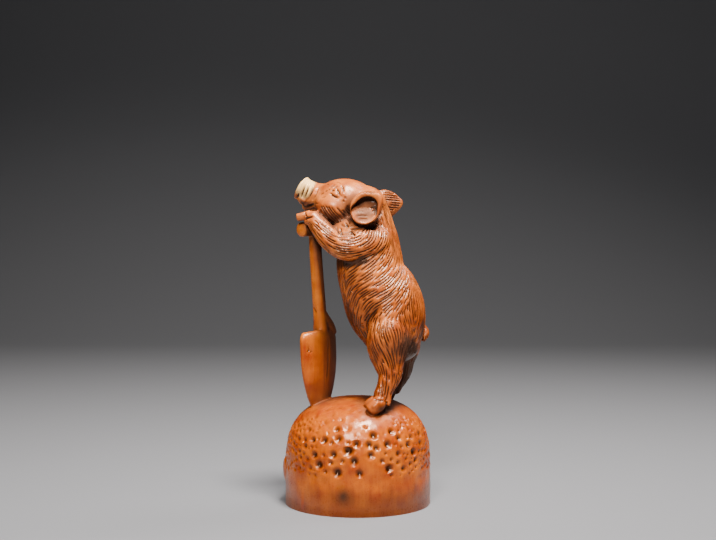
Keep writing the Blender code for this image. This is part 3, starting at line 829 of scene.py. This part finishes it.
# The pits of the near side, drawn on the picture: pixel and radius
near_pits = (
    (365.5, 427, 0.7), (337, 429.5, 0.95), (391.5, 431.5, 1.1), (373.5, 435.5, 1.2), (328, 433.5, 0.5),
    (308.5, 430, 0.8), (297.5, 426, 0.8), (420, 433.5, 1.0), (411.5, 437, 0.9), (399, 438, 1.05),
    (324, 440.5, 1.1), (338.5, 439, 1.05), (312.5, 440, 1.0), (304.5, 440, 0.8), (356.5, 444, 1.1),
    (348.5, 443, 0.6), (331.5, 443, 0.7), (369.5, 445, 1.1), (376.5, 448, 1.1), (388, 444.5, 1.2),
    (395.5, 444.5, 0.5), (409, 445, 1.1), (421, 443, 1.0), (348.5, 451, 1.5), (333, 455, 1.15),
    (314, 455, 1.1), (323, 455.5, 0.6), (354, 461.5, 1.3), (371, 455.5, 1.15), (386, 454, 0.55),
    (399, 454, 0.95), (414, 452, 1.25), (382.5, 461.5, 0.8), (392, 460, 0.75), (398.5, 463, 0.7),
    (342, 461.5, 0.75), (330.5, 463, 0.8), (318.5, 465, 1.3), (389.5, 469, 1.3), (404, 469, 0.95),
    (337, 473, 1.4), (359.5, 474, 1.15), (325, 472, 0.7), (392, 475.5, 0.7), (416, 460, 0.9),
    (406.5, 459, 0.6), (304.5, 446, 0.9), (298.5, 439, 0.8), (299, 451, 0.7), (300, 457, 0.7),
    (307, 459, 0.65), (296, 459, 0.6), (293.5, 443, 0.7), (293, 450, 0.6), (295, 469, 0.6),
    (291.5, 462, 0.6), (423, 451, 0.8), (426.5, 445, 0.6), (427, 455, 0.7), (424, 459, 0.6),
    (411, 464, 0.7), (303, 464, 0.6), (310, 468, 0.7), (288, 452, 0.5), (289, 458, 0.5),
)
pit_growth = 1.22
pit_depth = 0.66
# The belt of pits, and the passes that fill it all round: tries, the turn they start at, radii and gap
pit_belt = (0.36 * mound_height, 0.84 * mound_height)
pit_passes = ((4000, 76, (0.7, 1.4), 0.1), (2500, 34, (0.42, 0.8), 0.0))
# Softer dents over them, where the mound turns up into its crown
soft_pits = (
    (324.5, 422.5, 1.3), (318.5, 428, 1.1), (328.5, 428, 1.0), (341.5, 420, 1.2), (347.5, 429, 1.1),
    (349.5, 410, 1.2), (340.5, 407, 1.2), (308.5, 422, 1.0), (315.5, 417, 1.1), (332, 415, 1.1),
    (401, 427, 1.2), (409, 429, 1.1), (395, 420, 1.1), (384, 434, 1.0), (357, 436, 1.1),
    (327, 409, 1.2), (359, 411, 1.0), (403, 417, 1.1), (412, 421, 1.0), (302, 425, 0.9),
)
soft_pit_depth = 0.26
dimple_tries = 5000
dimple_foot = 9.0
dimple_gap = 1.9
dimple_radius = 1.7
dimple_depth = 0.13

# The stain on the mound, and the places of painted highlight and of painted shade: pixel, inner and outer
# radius
stain_pixel = (343, 497)
# Painted highlight on the thigh's top and on the back
highlight_pixels = ((386, 326, 1.0, 9.0), (426, 262, 2.0, 14.0))
# Painted shade on the far leg's upper edge and over the ear's floor
shade_pixels = ((407, 347, 2.0, 6.0), (367, 211, -12.0, 6.0))


def on_mound(turn, height):
    """A place on the mound's skin, from its turn about the axis and its height."""
    rise = max(height - mound_wall_height, 0.0) / (mound_height - mound_wall_height)
    radius = mound_radius * (1 - rise**mound_roundness) ** (1 / mound_roundness)
    return Vector((radius * math.sin(turn), -radius * math.cos(turn), height))


def pits(skin):
    """Places, half widths and depths of the round pits: a belt around the mound's shoulder."""
    found = [(skin.at(u, v), r * pit_growth) for u, v, r in near_pits]
    draw = random.Random(12)
    for tries, start, sizes, gap in pit_passes:
        for _ in range(tries):
            turn = draw.uniform(math.radians(start), math.radians(360 - start))
            place = on_mound(turn, draw.uniform(*pit_belt))
            size = draw.uniform(*sizes)
            if all((place - other).length > size + near + gap for other, near in found):
                found.append((place, size))
    soft = [(skin.at(u, v), (0, 0, 0), r, soft_pit_depth * r) for u, v, r in soft_pits]
    return soft + [(place, (0, 0, 0), size, pit_depth * size) for place, size in found]


def dimples():
    """Shallow dents of the gouge all over the dome."""
    found = []
    draw = random.Random(31)
    for _ in range(dimple_tries):
        height = mound_height - (mound_height - dimple_foot) * draw.random() ** 1.6
        place = on_mound(draw.uniform(0, 2 * math.pi), height)
        if all((place - other).length > dimple_gap for other in found):
            found.append(place)
    return [(p, (0, 0, 0), dimple_radius, dimple_depth * draw.uniform(0.5, 1.3)) for p in found]


# Strokes of hair

# Guides drawn on the picture: where a stroke starts and ends
seen_guides = (
    # flank and belly
    (345, 283, 352, 277), (346, 300, 350, 293), (348, 309, 350, 302), (357, 311, 359, 303),
    (362, 284, 370, 280), (372, 292, 384, 286), (375, 300, 388, 294), (384, 306, 396, 299),
    (395, 303, 403, 294), (396, 290, 402, 281), (406, 293, 409, 285), (365, 276, 372, 270),
    (378, 276, 388, 268), (385, 265, 390, 256), (391, 276, 397, 268), (399, 262, 400, 252),
    (400, 310, 404, 303), (392, 312, 396, 306), (345, 272, 351, 268), (360, 296, 368, 291),
    (356, 322, 358, 314), (366, 318, 372, 311), (412, 316, 410, 309), (418, 322, 421, 314),
    (414, 300, 413, 291), (408, 280, 409, 271), (421, 306, 419, 297), (362, 268, 370, 263),
    # shoulder and neck
    (380, 247, 383, 240), (384, 258, 388, 250), (375, 262, 381, 255), (388, 238, 387, 229),
    (395, 248, 393, 239), (379, 237, 379, 229),
    # arm
    (321, 230, 327, 235), (324, 239, 330, 244), (332, 238, 340, 241), (333, 248, 341, 251),
    (345, 241, 354, 241), (346, 250, 355, 250), (358, 240, 365, 236), (360, 249, 369, 246),
    (366, 244, 373, 239), (365, 240, 365, 232), (371, 239, 371, 232), (364, 254, 373, 251),
    # thigh and leg
    (373, 335, 372, 343), (376, 340, 379, 347), (381, 344, 387, 354), (390, 331, 394, 340),
    (396, 343, 396, 352), (403, 330, 404, 337), (385, 358, 389, 366), (377, 354, 381, 362),
    (400, 355, 400, 364), (386, 370, 386, 378), (393, 382, 393, 390), (384, 385, 383, 393),
    (399, 380, 397, 388), (404, 320, 408, 327), (407, 340, 406, 349), (380, 322, 378, 330),
    (409, 330, 409, 338),
    # cheek and jaw
    (328, 210, 331, 214), (334, 212, 337, 216), (339, 211, 343, 215), (335, 217, 338, 220),
    (344, 206, 348, 210), (350, 218, 353, 222),
    # ears
    (384, 194, 392, 194.6), (386, 199, 395, 200), (386, 204.5, 396, 203.5), (388, 209.5, 396, 207),
)
# Guides round the back: turn in degrees from -Y towards +X, height over the crown, slant in degrees
round_guides = tuple(
    (turn, height, slant)
    for turn, slant in ((62, 12), (90, 0), (118, -12))
    for height in (16, 22, 28, 34, 40, 46, 51)
) + tuple((turn, height, 0) for turn in (-62, -90, -118) for height in (20, 26, 32, 38))
guide_reach = 4.6
guide_blur = 2.0
guide_fade = 1.5
# For how many points at a time the field of hair is worked out
points_at_once = 20000
# Guides over this height are mirrored to the head's other side, those below it to the body's
head_from = 82.0

# Places where no hair is cut: a pixel and a radius
bare_spots = (
    (304, 192, 8.0), (333, 189, 5.2), (345, 192, 5.0), (358, 187, 5.0), (300, 217, 2.8), (303, 230, 2.6),
    (345, 224, 2.2), (373, 407, 3.4), (366, 200, 2.4), (374, 212, 1.6), (379, 199, 1.8),
    (361, 215, 2.6), (366, 218, 1.8), (356, 211, 1.6),
)
stroke_spacing = 0.66
stroke_step = 0.22
stroke_length_range = (5.0, 18.0)
stroke_half_width = 0.37
stroke_depth = 0.38
# Shares of the spacing that a stroke keeps clear, where it starts and along its way
clear_at_start, clear_on_way = 0.97, 0.66
# One in how many points of the skin guides the strokes, and every how many samples new ones branch off
fur_sampling = 7
branch_every = 4


def limb_guides(skin, line, near_side):
    """Guides that run down a limb on all the sides that the picture doesn't show."""
    path = smooth_path(line, 2)[2:]
    found = []
    for here, after in zip(path, path[1:]):
        centre, tangent = figure_point(*here[:3]), Vector(after[:3] - here[:3]).normalized()
        side = tangent.cross((1, 0, 0)).normalized()
        for turn in range(0, 360, 45):
            outward = Matrix.Rotation(math.radians(turn), 3, tangent) @ side
            if near_side and outward.y < -0.3:
                continue
            place = skin.tree.ray_cast(centre, outward)[0]
            if place is not None and (place - centre).length < 1.5 * max(here[3:5]):
                found.append((place, skin.nearest(place + tangent * 2)))
    return found


def hair_guides(skin):
    """Places, ways and normals of the guides, on both sides of the pig."""
    found = []
    for u1, v1, u2, v2 in seen_guides:
        start, end = skin.at(u1, v1), skin.at(u2, v2)
        found.append((start, end))
        middle, side = (head_middle, head_side) if start.z > head_from else (body_middle, body_side)
        found.append(tuple(skin.nearest(mirrored(p, middle, side)) for p in (start, end)))
    for turn, height, slant in round_guides:
        a = math.radians(turn)
        outward = Vector((math.sin(a), -math.cos(a), 0))
        axis = figure_point(10.5 - 0.19 * (height - 15), -1.0, height)
        place = skin.tree.ray_cast(axis + outward * 40, -outward)[0]
        way = Vector((0, 0, 1)) + outward.cross(Vector((0, 0, 1))) * math.tan(math.radians(slant))
        found.append((place, skin.nearest(place + way * 2)))
    for line in (near_leg_line, far_leg_line, near_arm_line, far_arm_line):
        found += limb_guides(skin, line, line[0][1] < 0)
    places, ways, normals = [], [], []
    for start, end in found:
        middle, normal = skin.tree.find_nearest((start + end) / 2)[:2]
        way = (end - start) - normal * (end - start).dot(normal)
        if way.length < 0.3:
            continue
        places.append(middle)
        ways.append(way.normalized())
        normals.append(normal)
    return np.array(places), np.array(ways), np.array(normals)


def hair_field(points, normals, guides):
    """The way of the hair at each point, and how much of it grows there."""
    places, ways, facing = guides
    field = np.zeros_like(points)
    growth = np.zeros(len(points))
    for first in range(0, len(points), points_at_once):
        part = slice(first, first + points_at_once)
        gap = points[part, None] - places[None]
        near = np.exp(-(gap**2).sum(2) / (2 * guide_blur**2))
        agree = np.clip(normals[part] @ facing.T, 0, 1) ** 2
        weight = near * agree
        spread = np.einsum("pg,gi,gj->pij", weight, ways, ways)
        way = ways[weight.argmax(1)]
        for _ in range(10):
            way = np.einsum("pij,pj->pi", spread, way)
            way -= normals[part] * (way * normals[part]).sum(1)[:, None]
            way /= np.linalg.norm(way, axis=1)[:, None] + 1e-12
        field[part] = way
        reach = np.sqrt((gap**2).sum(2)) + 6 * (1 - agree)
        growth[part] = np.clip((guide_reach - reach.min(1)) / guide_fade, 0, 1)
    return field, growth


def hair_strokes(mesh, guides, bare):
    """Places, ways, half widths and depths of samples along strokes that grow beside one another."""
    points, normals = (values[::fur_sampling] for values in points_of(mesh))
    furred = regions_of(points)["pig"] > 0.5
    points, normals = points[furred], normals[furred]
    field, growth = hair_field(points, normals, guides)
    for place, radius in bare:
        growth *= np.clip(np.linalg.norm(points - np.array(place), axis=1) - radius, 0, 1)
    keep = growth > 0.02
    points, normals, field, growth = points[keep], normals[keep], field[keep], growth[keep]
    tree = KDTree(len(points))
    for i, place in enumerate(points):
        tree.insert(place, i)
    tree.balance()
    cells = {}
    neighbours = [(i, j, k) for i in (-1, 0, 1) for j in (-1, 0, 1) for k in (-1, 0, 1)]

    def cell_of(place):
        return tuple(math.floor(c / stroke_spacing) for c in place)

    def crowded(place, own, share):
        i, j, k = cell_of(place)
        for step in neighbours:
            for other, number in cells.get((i + step[0], j + step[1], k + step[2]), ()):
                if number != own and (other - place).length < share * stroke_spacing:
                    return True
        return False

    def trace(place, way, length, own):
        path = []
        while len(path) * stroke_step < length:
            index = tree.find(place)[1]
            normal = Vector(normals[index])
            place = place - normal * (place - Vector(points[index])).dot(normal)
            along = Vector(field[index])
            if along.dot(way) < 0:
                along = -along
            if growth[index] < 0.05 or along.dot(way) < 0.6 or crowded(place, own, clear_on_way):
                break
            path.append((place, along, along.cross(normal), growth[index]))
            way = along
            place = place + along * stroke_step
            if tree.find(place)[2] > 0.9:
                break
        return path

    draw = random.Random(5)
    seeds = [Vector(points[i]) for i in draw.sample(range(len(points)), len(points))]
    samples = []
    number = 0
    while seeds:
        start = seeds.pop()
        _, index, gap = tree.find(start)
        if gap > 0.5 or crowded(start, -1, clear_at_start):
            continue
        number += 1
        length = draw.uniform(*stroke_length_range)
        share = draw.uniform(0.3, 0.7)
        way = Vector(field[index])
        forth = trace(start, way, length * share, number)
        back = trace(start, -way, length * (1 - share), number)
        path = back[:0:-1] + forth
        if len(path) * stroke_step < 1.0:
            continue
        strength = draw.uniform(0.75, 1.1)
        for i, (place, along, aside, grown) in enumerate(path):
            cells.setdefault(cell_of(place), []).append((place, number))
            t = (i + 0.5) / len(path)
            taper = min(1.0, 4.5 * t, 4.5 * (1 - t)) * min(1.0, 2 * grown)
            samples.append((place, along, stroke_half_width, stroke_depth * strength * taper))
            if i % branch_every == 2:
                for way in (aside, -aside):
                    seeds.append(place + way * (stroke_spacing * draw.uniform(1.0, 1.15)))
    return samples


# Tool marks cut by Geometry Nodes


mark_columns = (("way", "FLOAT_VECTOR"), ("reach", "FLOAT"), ("depth", "FLOAT"))
shelter_columns = (("covered", "FLOAT"),)


def cloud_object(name, samples, columns):
    """A cloud of points. After its place, each sample holds a value for each named column."""
    mesh = bpy.data.meshes.new(name)
    mesh.from_pydata([tuple(place) for place, *_ in samples], [], [])
    for column, (label, kind) in enumerate(columns, 1):
        layer = mesh.attributes.new(label, kind, "POINT")
        key = "vector" if kind == "FLOAT_VECTOR" else "value"
        layer.data.foreach_set(key, np.array([sample[column] for sample in samples], float).ravel())
    cloud = object_of(mesh, name)
    cloud.hide_render = True
    return cloud


class Nodes:
    """A node tree, with short ways to add to it. A source is a socket or a plain value."""

    def __init__(self, tree):
        self.tree = tree

    def feed(self, node, socket, source):
        if isinstance(source, bpy.types.NodeSocket):
            self.tree.links.new(source, node.inputs[socket])
        else:
            node.inputs[socket].default_value = source

    def add(self, kind, sources=(), output=0, **settings):
        """A new node with its settings and its (socket, source) pairs; the output is returned."""
        node = self.tree.nodes.new(kind)
        for key, value in settings.items():
            setattr(node, key, value)
        for socket, source in sources:
            self.feed(node, socket, source)
        return node.outputs[output]

    def maths(self, operation, *sources, clamp=False):
        return self.add("ShaderNodeMath", enumerate(sources), operation=operation, use_clamp=clamp)

    def vectors(self, operation, *sources, output="Vector"):
        return self.add("ShaderNodeVectorMath", enumerate(sources), output, operation=operation)

    def sum_of(self, start, *parts):
        """A start value, with each source added in its share."""
        for source, share in parts:
            start = self.maths("ADD", start, self.maths("MULTIPLY", source, share))
        return start

    def scaled(self, vector, scale):
        return self.add("ShaderNodeVectorMath", ((0, vector), ("Scale", scale)), operation="SCALE")

    def named(self, kind, name):
        return self.add("GeometryNodeInputNamedAttribute", (("Name", name),), "Attribute", data_type=kind)

    def stored(self, geometry, name, value):
        pairs = (("Geometry", geometry), ("Name", name), ("Value", value))
        return self.add("GeometryNodeStoreNamedAttribute", pairs, data_type="FLOAT", domain="POINT")


def skin_tree(name, extra_inputs):
    """An empty tree that takes the skin, a cloud of samples and a material, and how it reads the cloud."""
    tree = bpy.data.node_groups.new(name, "GeometryNodeTree")
    inputs = (("Geometry", "Geometry"), ("Cloud", "Object"), ("Material", "Material"), *extra_inputs)
    for label, kind in inputs:
        tree.interface.new_socket(label, in_out="INPUT", socket_type="NodeSocket" + kind)
    tree.interface.new_socket("Geometry", in_out="OUTPUT", socket_type="NodeSocketGeometry")
    work = Nodes(tree)
    given = tree.nodes.new("NodeGroupInput").outputs
    cloud = work.add("GeometryNodeObjectInfo", (("Object", given["Cloud"]),), "Geometry")
    here = work.add("GeometryNodeInputPosition")
    nearest = work.add("GeometryNodeSampleNearest", (("Geometry", cloud), ("Sample Position", here)))

    def of_cloud(kind, source):
        pairs = (("Geometry", cloud), ("Value", source), ("Index", nearest))
        return work.add("GeometryNodeSampleIndex", pairs, data_type=kind, domain="POINT")

    def finish(geometry):
        real = work.add("GeometryNodeRealizeInstances", (("Geometry", geometry),))
        coated = work.add("GeometryNodeSetMaterial", (("Geometry", real), ("Material", given["Material"])))
        work.feed(tree.nodes.new("NodeGroupOutput"), "Geometry", coated)
        return tree

    return work, given, here, of_cloud, finish


def marks_tree():
    """Press the nearest mark's hollow into the skin, and keep a share of how deep it went as relief for
    painted shade.
    """
    inputs = (("Roundness", "Float"), ("Shade", "Float"))
    work, given, here, of_cloud, finish = skin_tree("tool marks", inputs)
    way = of_cloud("FLOAT_VECTOR", work.named("FLOAT_VECTOR", "way"))
    gap = work.vectors("SUBTRACT", here, of_cloud("FLOAT_VECTOR", here))
    along = work.vectors("DOT_PRODUCT", gap, way, output="Value")
    aside = work.vectors("SUBTRACT", gap, work.scaled(way, along))
    distance = work.vectors("LENGTH", aside, output="Value")
    share = work.maths("DIVIDE", distance, of_cloud("FLOAT", work.named("FLOAT", "reach")))
    bowl = work.maths("SUBTRACT", 1.0, work.maths("POWER", share, given["Roundness"]), clamp=True)
    depth = of_cloud("FLOAT", work.named("FLOAT", "depth"))
    push = work.maths("MULTIPLY", bowl, work.maths("MULTIPLY", depth, -1.0))
    shaded = work.maths("ADD", work.named("FLOAT", "relief"), work.maths("MULTIPLY", push, given["Shade"]))
    kept = work.stored(given["Geometry"], "relief", shaded)
    offset = work.scaled(work.add("GeometryNodeInputNormal"), push)
    return finish(work.add("GeometryNodeSetPosition", (("Geometry", kept), ("Offset", offset))))


def shelter_tree():
    """Spread the cloud's share of cover over the skin, softly, as painted shade."""
    work, given, here, of_cloud, finish = skin_tree("shelter", (("Softness", "Int"),))
    covered = of_cloud("FLOAT", work.named("FLOAT", "covered"))
    pairs = (("Value", covered), ("Iterations", given["Softness"]))
    soft = work.add("GeometryNodeBlurAttribute", pairs, data_type="FLOAT")
    return finish(work.stored(given["Geometry"], "shelter", soft))


def worked(mesh, steps, material):
    """Run trees over the skin: (tree, cloud, values of the other inputs). Then thin out the triangles."""
    thing = object_of(mesh, "worked skin")
    for tree, cloud, values in steps:
        sockets = tree.interface.items_tree
        inputs = {socket.name: socket.identifier for socket in sockets if socket.in_out == "INPUT"}
        modifier = thing.modifiers.new(cloud.name, "NODES")
        modifier.node_group = tree
        for name, value in (("Cloud", cloud), ("Material", material), *values.items()):
            modifier[inputs[name]] = value
    fewer = thing.modifiers.new("fewer triangles", "DECIMATE")
    fewer.ratio = most_triangles / (2 * len(mesh.polygons))
    mesh = evaluated(thing)
    for _, cloud, _ in steps:
        bpy.data.objects.remove(cloud)
    return mesh


def flat_underside(mesh):
    """Cut the skin off at the underside and close it."""
    shape = bmesh.new()
    shape.from_mesh(mesh)
    everything = shape.verts[:] + shape.edges[:] + shape.faces[:]
    bmesh.ops.bisect_plane(shape, geom=everything, plane_co=(0, 0, 0), plane_no=(0, 0, 1), clear_inner=True)
    rim = [edge for edge in shape.edges if edge.is_boundary]
    floor = bmesh.ops.contextual_create(shape, geom=rim)["faces"]
    bmesh.ops.triangulate(shape, faces=floor)
    bmesh.ops.recalc_face_normals(shape, faces=shape.faces)
    shape.to_mesh(mesh)
    shape.free()


# Finish


class Shading(Nodes):
    """A material's nodes. Their coordinates are drawn millimetres."""

    def __init__(self, name):
        self.material = bpy.data.materials.new(name)
        self.material.use_nodes = True
        super().__init__(self.material.node_tree)
        self.shader = self.tree.nodes["Principled BSDF"]
        self.place = self.add("ShaderNodeTexCoord", output="Object")
        self.drawn = self.stretched(1.0, 1.0)

    def stretched(self, across, upright):
        scale = (across / mm, across / mm, upright / mm)
        return self.add("ShaderNodeMapping", (("Vector", self.place), ("Scale", scale)))

    def height(self):
        return self.add("ShaderNodeSeparateXYZ", ((0, self.drawn),), "Z")

    def attribute(self, name):
        return self.add("ShaderNodeAttribute", output="Fac", attribute_name=name)

    def ramp(self, value, low, high):
        return self.add("ShaderNodeMapRange", (("Value", value), ("From Min", low), ("From Max", high)))

    def noise(self, size, detail, contrast=1.0, vector=None):
        """Cloudy values around 0.5, in patches that are that many millimetres wide."""
        pairs = (("Vector", vector or self.drawn), ("Scale", 1 / size), ("Detail", detail))
        spread = 0.25 / contrast
        return self.ramp(self.add("ShaderNodeTexNoise", pairs), 0.5 - spread, 0.5 + spread)

    def mix(self, share, first, second):
        pairs = ((0, share), (6, first), (7, second))
        return self.add("ShaderNodeMix", pairs, 2, data_type="RGBA")

    def near(self, place, inner, outer):
        """One within the inner radius of a place and none beyond the outer one."""
        return self.ramp(self.vectors("DISTANCE", self.drawn, tuple(place), output="Value"), outer, inner)

    def bump(self, height, distance, strength):
        pairs = (("Height", height), ("Distance", distance), ("Strength", strength))
        self.feed(self.shader, "Normal", self.add("ShaderNodeBump", pairs))


# Colours of the wood, dark and light: on the mound; high on the spade, lighter as painted light; on the
# pig; on its head, paler partly as painted highlight
wood_tones = (
    ((0.21, 0.014, 0.0, 1), (0.52, 0.112, 0.0, 1)),
    ((0.34, 0.040, 0.001, 1), (0.74, 0.200, 0.012, 1)),
    ((0.17, 0.020, 0.001, 1), (0.48, 0.100, 0.006, 1)),
    ((0.25, 0.034, 0.003, 1), (0.66, 0.180, 0.028, 1)),
)
# The heights between which the spade turns to its shaft's lighter tone, painted light, and the pig to its
# head's paler tone, partly painted highlight
shaft_heights = (42.0, 56.0)
head_heights = (46.0, 80.0)
cream = (0.96, 0.60, 0.22, 1)
# Painted shade in the cuts, partly the dark wax they hold
shade_and_wax_in_cuts = (0.028, 0.005, 0.001, 1)
# Painted shade where the skin is covered, standing partly for dark wax in the recesses
painted_shade_colour = (0.030, 0.005, 0.002, 1)
stain_colour = (0.05, 0.010, 0.002, 1)
# The wax on the wood
wax = (
    ("Specular IOR Level", 0.75), ("Specular Tint", (1.0, 0.60, 0.38, 1)),
    ("Coat Weight", 0.07), ("Coat Roughness", 0.17),
)


def boxwood(stain_place, highlight_places, shade_places):
    """Waxed boxwood: orange on mound and spade, redder on the pig, pale on its snout, painted shade in the
    cuts.
    """
    wood = Shading("waxed boxwood")
    patches = wood.noise(4.5, 3.0, 1.2)
    fibre = wood.noise(1.0, 3.0, 0.9, wood.stretched(1.6, 0.16))
    grain = wood.noise(0.35, 4.0)
    pig = wood.attribute("pig")
    relief = wood.attribute("relief")
    # Painted shade: darker and rougher where the skin is covered and at the shade spots, partly the dark
    # wax of the recesses
    shelter = wood.ramp(wood.attribute("shelter"), 0.05, 0.46)
    for place, inner, outer in shade_places:
        shelter = wood.maths("MAXIMUM", shelter, wood.near(place, inner, outer))
    tone = wood.sum_of(0.0, (patches, 0.7), (fibre, 0.3))
    base_tone, lit_shaft_tone, pig_tone, head_tone = (wood.mix(tone, *pair) for pair in wood_tones)
    # Painted highlight: paler towards the head, partly the head's own tone, and paler on the thigh's top
    # and the back
    painted_highlight = wood.ramp(wood.height(), *head_heights)
    for place, inner, outer in highlight_places:
        painted_highlight = wood.maths("MAXIMUM", painted_highlight, wood.near(place, inner, outer))
    # Painted light: the spade turns to a lighter tone up its shaft
    plain = wood.mix(wood.ramp(wood.height(), *shaft_heights), base_tone, lit_shaft_tone)
    colour = wood.mix(pig, plain, wood.mix(painted_highlight, pig_tone, head_tone))
    colour = wood.mix(wood.attribute("pale"), colour, cream)
    edge = wood.sum_of(wood.near(stain_place, 0.4, 4.4), (patches, 0.3))
    colour = wood.mix(wood.ramp(edge, 0.3, 1.15), colour, stain_colour)
    # Painted shade mixed in, nearly black where the skin is most covered
    colour = wood.mix(wood.maths("MULTIPLY", shelter, 0.92), colour, painted_shade_colour)
    # Painted shade in the cuts and hollows, from their relief, partly the dark wax they hold
    colour = wood.mix(wood.ramp(relief, -0.28, -0.03), shade_and_wax_in_cuts, colour)
    wood.feed(wood.shader, "Base Color", colour)
    wood.feed(wood.shader, "Roughness", wood.sum_of(0.24, (grain, 0.12), (pig, 0.05), (shelter, 0.5)))
    for socket, value in wax:
        wood.feed(wood.shader, socket, value)
    wood.bump(wood.sum_of(grain, (fibre, 1.5)), 0.03 * mm, 0.3)
    return wood.material


def carving():
    """The whole ornament as one skin."""
    body = one_skin(soft_forms(), grain_of_forms, rounds_on_forms)
    skin = Skin(one_skin([body, *crisp_forms()], grain_of_skin, rounds_on_skin))
    guides = hair_guides(skin)
    bare = [(skin.at(u, v), radius) for u, v, radius in bare_spots]
    bare += [(mirrored(place, head_middle, head_side), radius) for place, radius in bare[:4]]
    hollows = pits(skin)
    painted_highlight, shade_spots = (
        [(skin.at(u, v), inner, outer) for u, v, inner, outer in pixels]
        for pixels in (highlight_pixels, shade_pixels)
    )
    material = boxwood(skin.at(*stain_pixel), painted_highlight, shade_spots)
    sculpt_face(skin)
    sculpt_nostrils(skin)
    sculpt_body(skin)
    shelter = shelter_of(skin)
    mesh = skin.finish(regions_of(skin.start))
    strokes = hair_strokes(mesh, guides, bare)
    cut, cover = marks_tree(), shelter_tree()
    # Shade: the share of each mark's depth that the material paints as shade
    steps = (
        (cover, cloud_object("shelter", shelter, shelter_columns), {"Softness": 14}),
        (cut, cloud_object("dimples", dimples(), mark_columns), {"Roundness": 2.0, "Shade": 0.0}),
        (cut, cloud_object("pits", hollows, mark_columns), {"Roundness": 1.1, "Shade": 0.40}),
        (cut, cloud_object("hair", strokes, mark_columns), {"Roundness": 1.15, "Shade": 1.0}),
    )
    mesh = worked(mesh, steps, material)
    flat_underside(mesh)
    mesh.transform(Matrix.Scale(mm, 4))
    mesh.shade_smooth()
    mesh.name = "carved_pig"
    return object_of(mesh, "carved_pig")


# The floor in metres: where it starts and bends up, the bend's radius, its height and half width
floor_front, floor_back, floor_bend, floor_height, floor_side = -0.9, 0.5, 0.3, 1.4, 1.5
floor_colour = (0.18, 0.18, 0.185, 1)
floor_roughness = 0.7


def stage():
    """A pale floor that runs up into a wall behind."""
    shape = bmesh.new()
    outline = [(floor_front, 0.0), (floor_back, 0.0)]
    for step in range(1, 13):
        a = step / 12 * math.pi / 2
        outline.append((floor_back + floor_bend * math.sin(a), floor_bend * (1 - math.cos(a))))
    outline.append((floor_back + floor_bend, floor_height))
    rows = [[shape.verts.new((x, y, z)) for x in (-floor_side, floor_side)] for y, z in outline]
    for low, high in zip(rows, rows[1:]):
        shape.faces.new((low[0], low[1], high[1], high[0]))
    mesh = bpy.data.meshes.new("floor")
    shape.to_mesh(mesh)
    shape.free()
    mesh.shade_smooth()
    floor = object_of(mesh, "floor")
    material = bpy.data.materials.new("pale floor")
    material.use_nodes = True
    shader = material.node_tree.nodes["Principled BSDF"]
    shader.inputs["Base Color"].default_value = floor_colour
    shader.inputs["Roughness"].default_value = floor_roughness
    mesh.materials.append(material)


# Where the soft lights look, and how wide they fan out in degrees
light_target = Vector((0, 0, 0.05))
light_spread = 100.0


def light(name, place, size, power, colour):
    """A soft square light that looks at the ornament."""
    lamp = bpy.data.lights.new(name, "AREA")
    lamp.shape = "SQUARE"
    lamp.size = size
    lamp.energy = power
    lamp.color = colour
    lamp.spread = math.radians(light_spread)
    holder = bpy.data.objects.new(name, lamp)
    holder.location = place
    holder.rotation_euler = (light_target - Vector(place)).to_track_quat("-Z", "Y").to_euler()
    bpy.context.scene.collection.objects.link(holder)


glow_colour = (0.85, 0.9, 1.0, 1)
glow_strength = 0.05


def lights():
    """Three soft lights and a faint cool glow all round."""
    light("key", (0.08, -0.17, 0.59), 0.14, 3.5, (1.0, 0.97, 0.95))
    light("front", (-0.09, -0.44, 0.37), 0.10, 1.05, (1.0, 0.97, 0.96))
    light("back", (0.26, 0.14, 0.48), 0.16, 0.35, (1.0, 0.95, 0.97))
    world = bpy.data.worlds.new("studio")
    world.use_nodes = True
    glow = world.node_tree.nodes["Background"].inputs
    glow["Color"].default_value = glow_colour
    glow["Strength"].default_value = glow_strength
    bpy.context.scene.world = world


def camera():
    """The camera that the picture was taken with."""
    data = bpy.data.cameras.new("camera")
    data.lens = lens
    data.sensor_width = sensor_width
    data.clip_start = 0.01
    holder = bpy.data.objects.new("camera", data)
    holder.location = eye / 1000
    holder.rotation_euler = (eye_tilt, 0, 0)
    bpy.context.scene.collection.objects.link(holder)
    bpy.context.scene.camera = holder


camera()
stage()
lights()
piece = carving()
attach(piece, "root")
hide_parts("pig_carving")
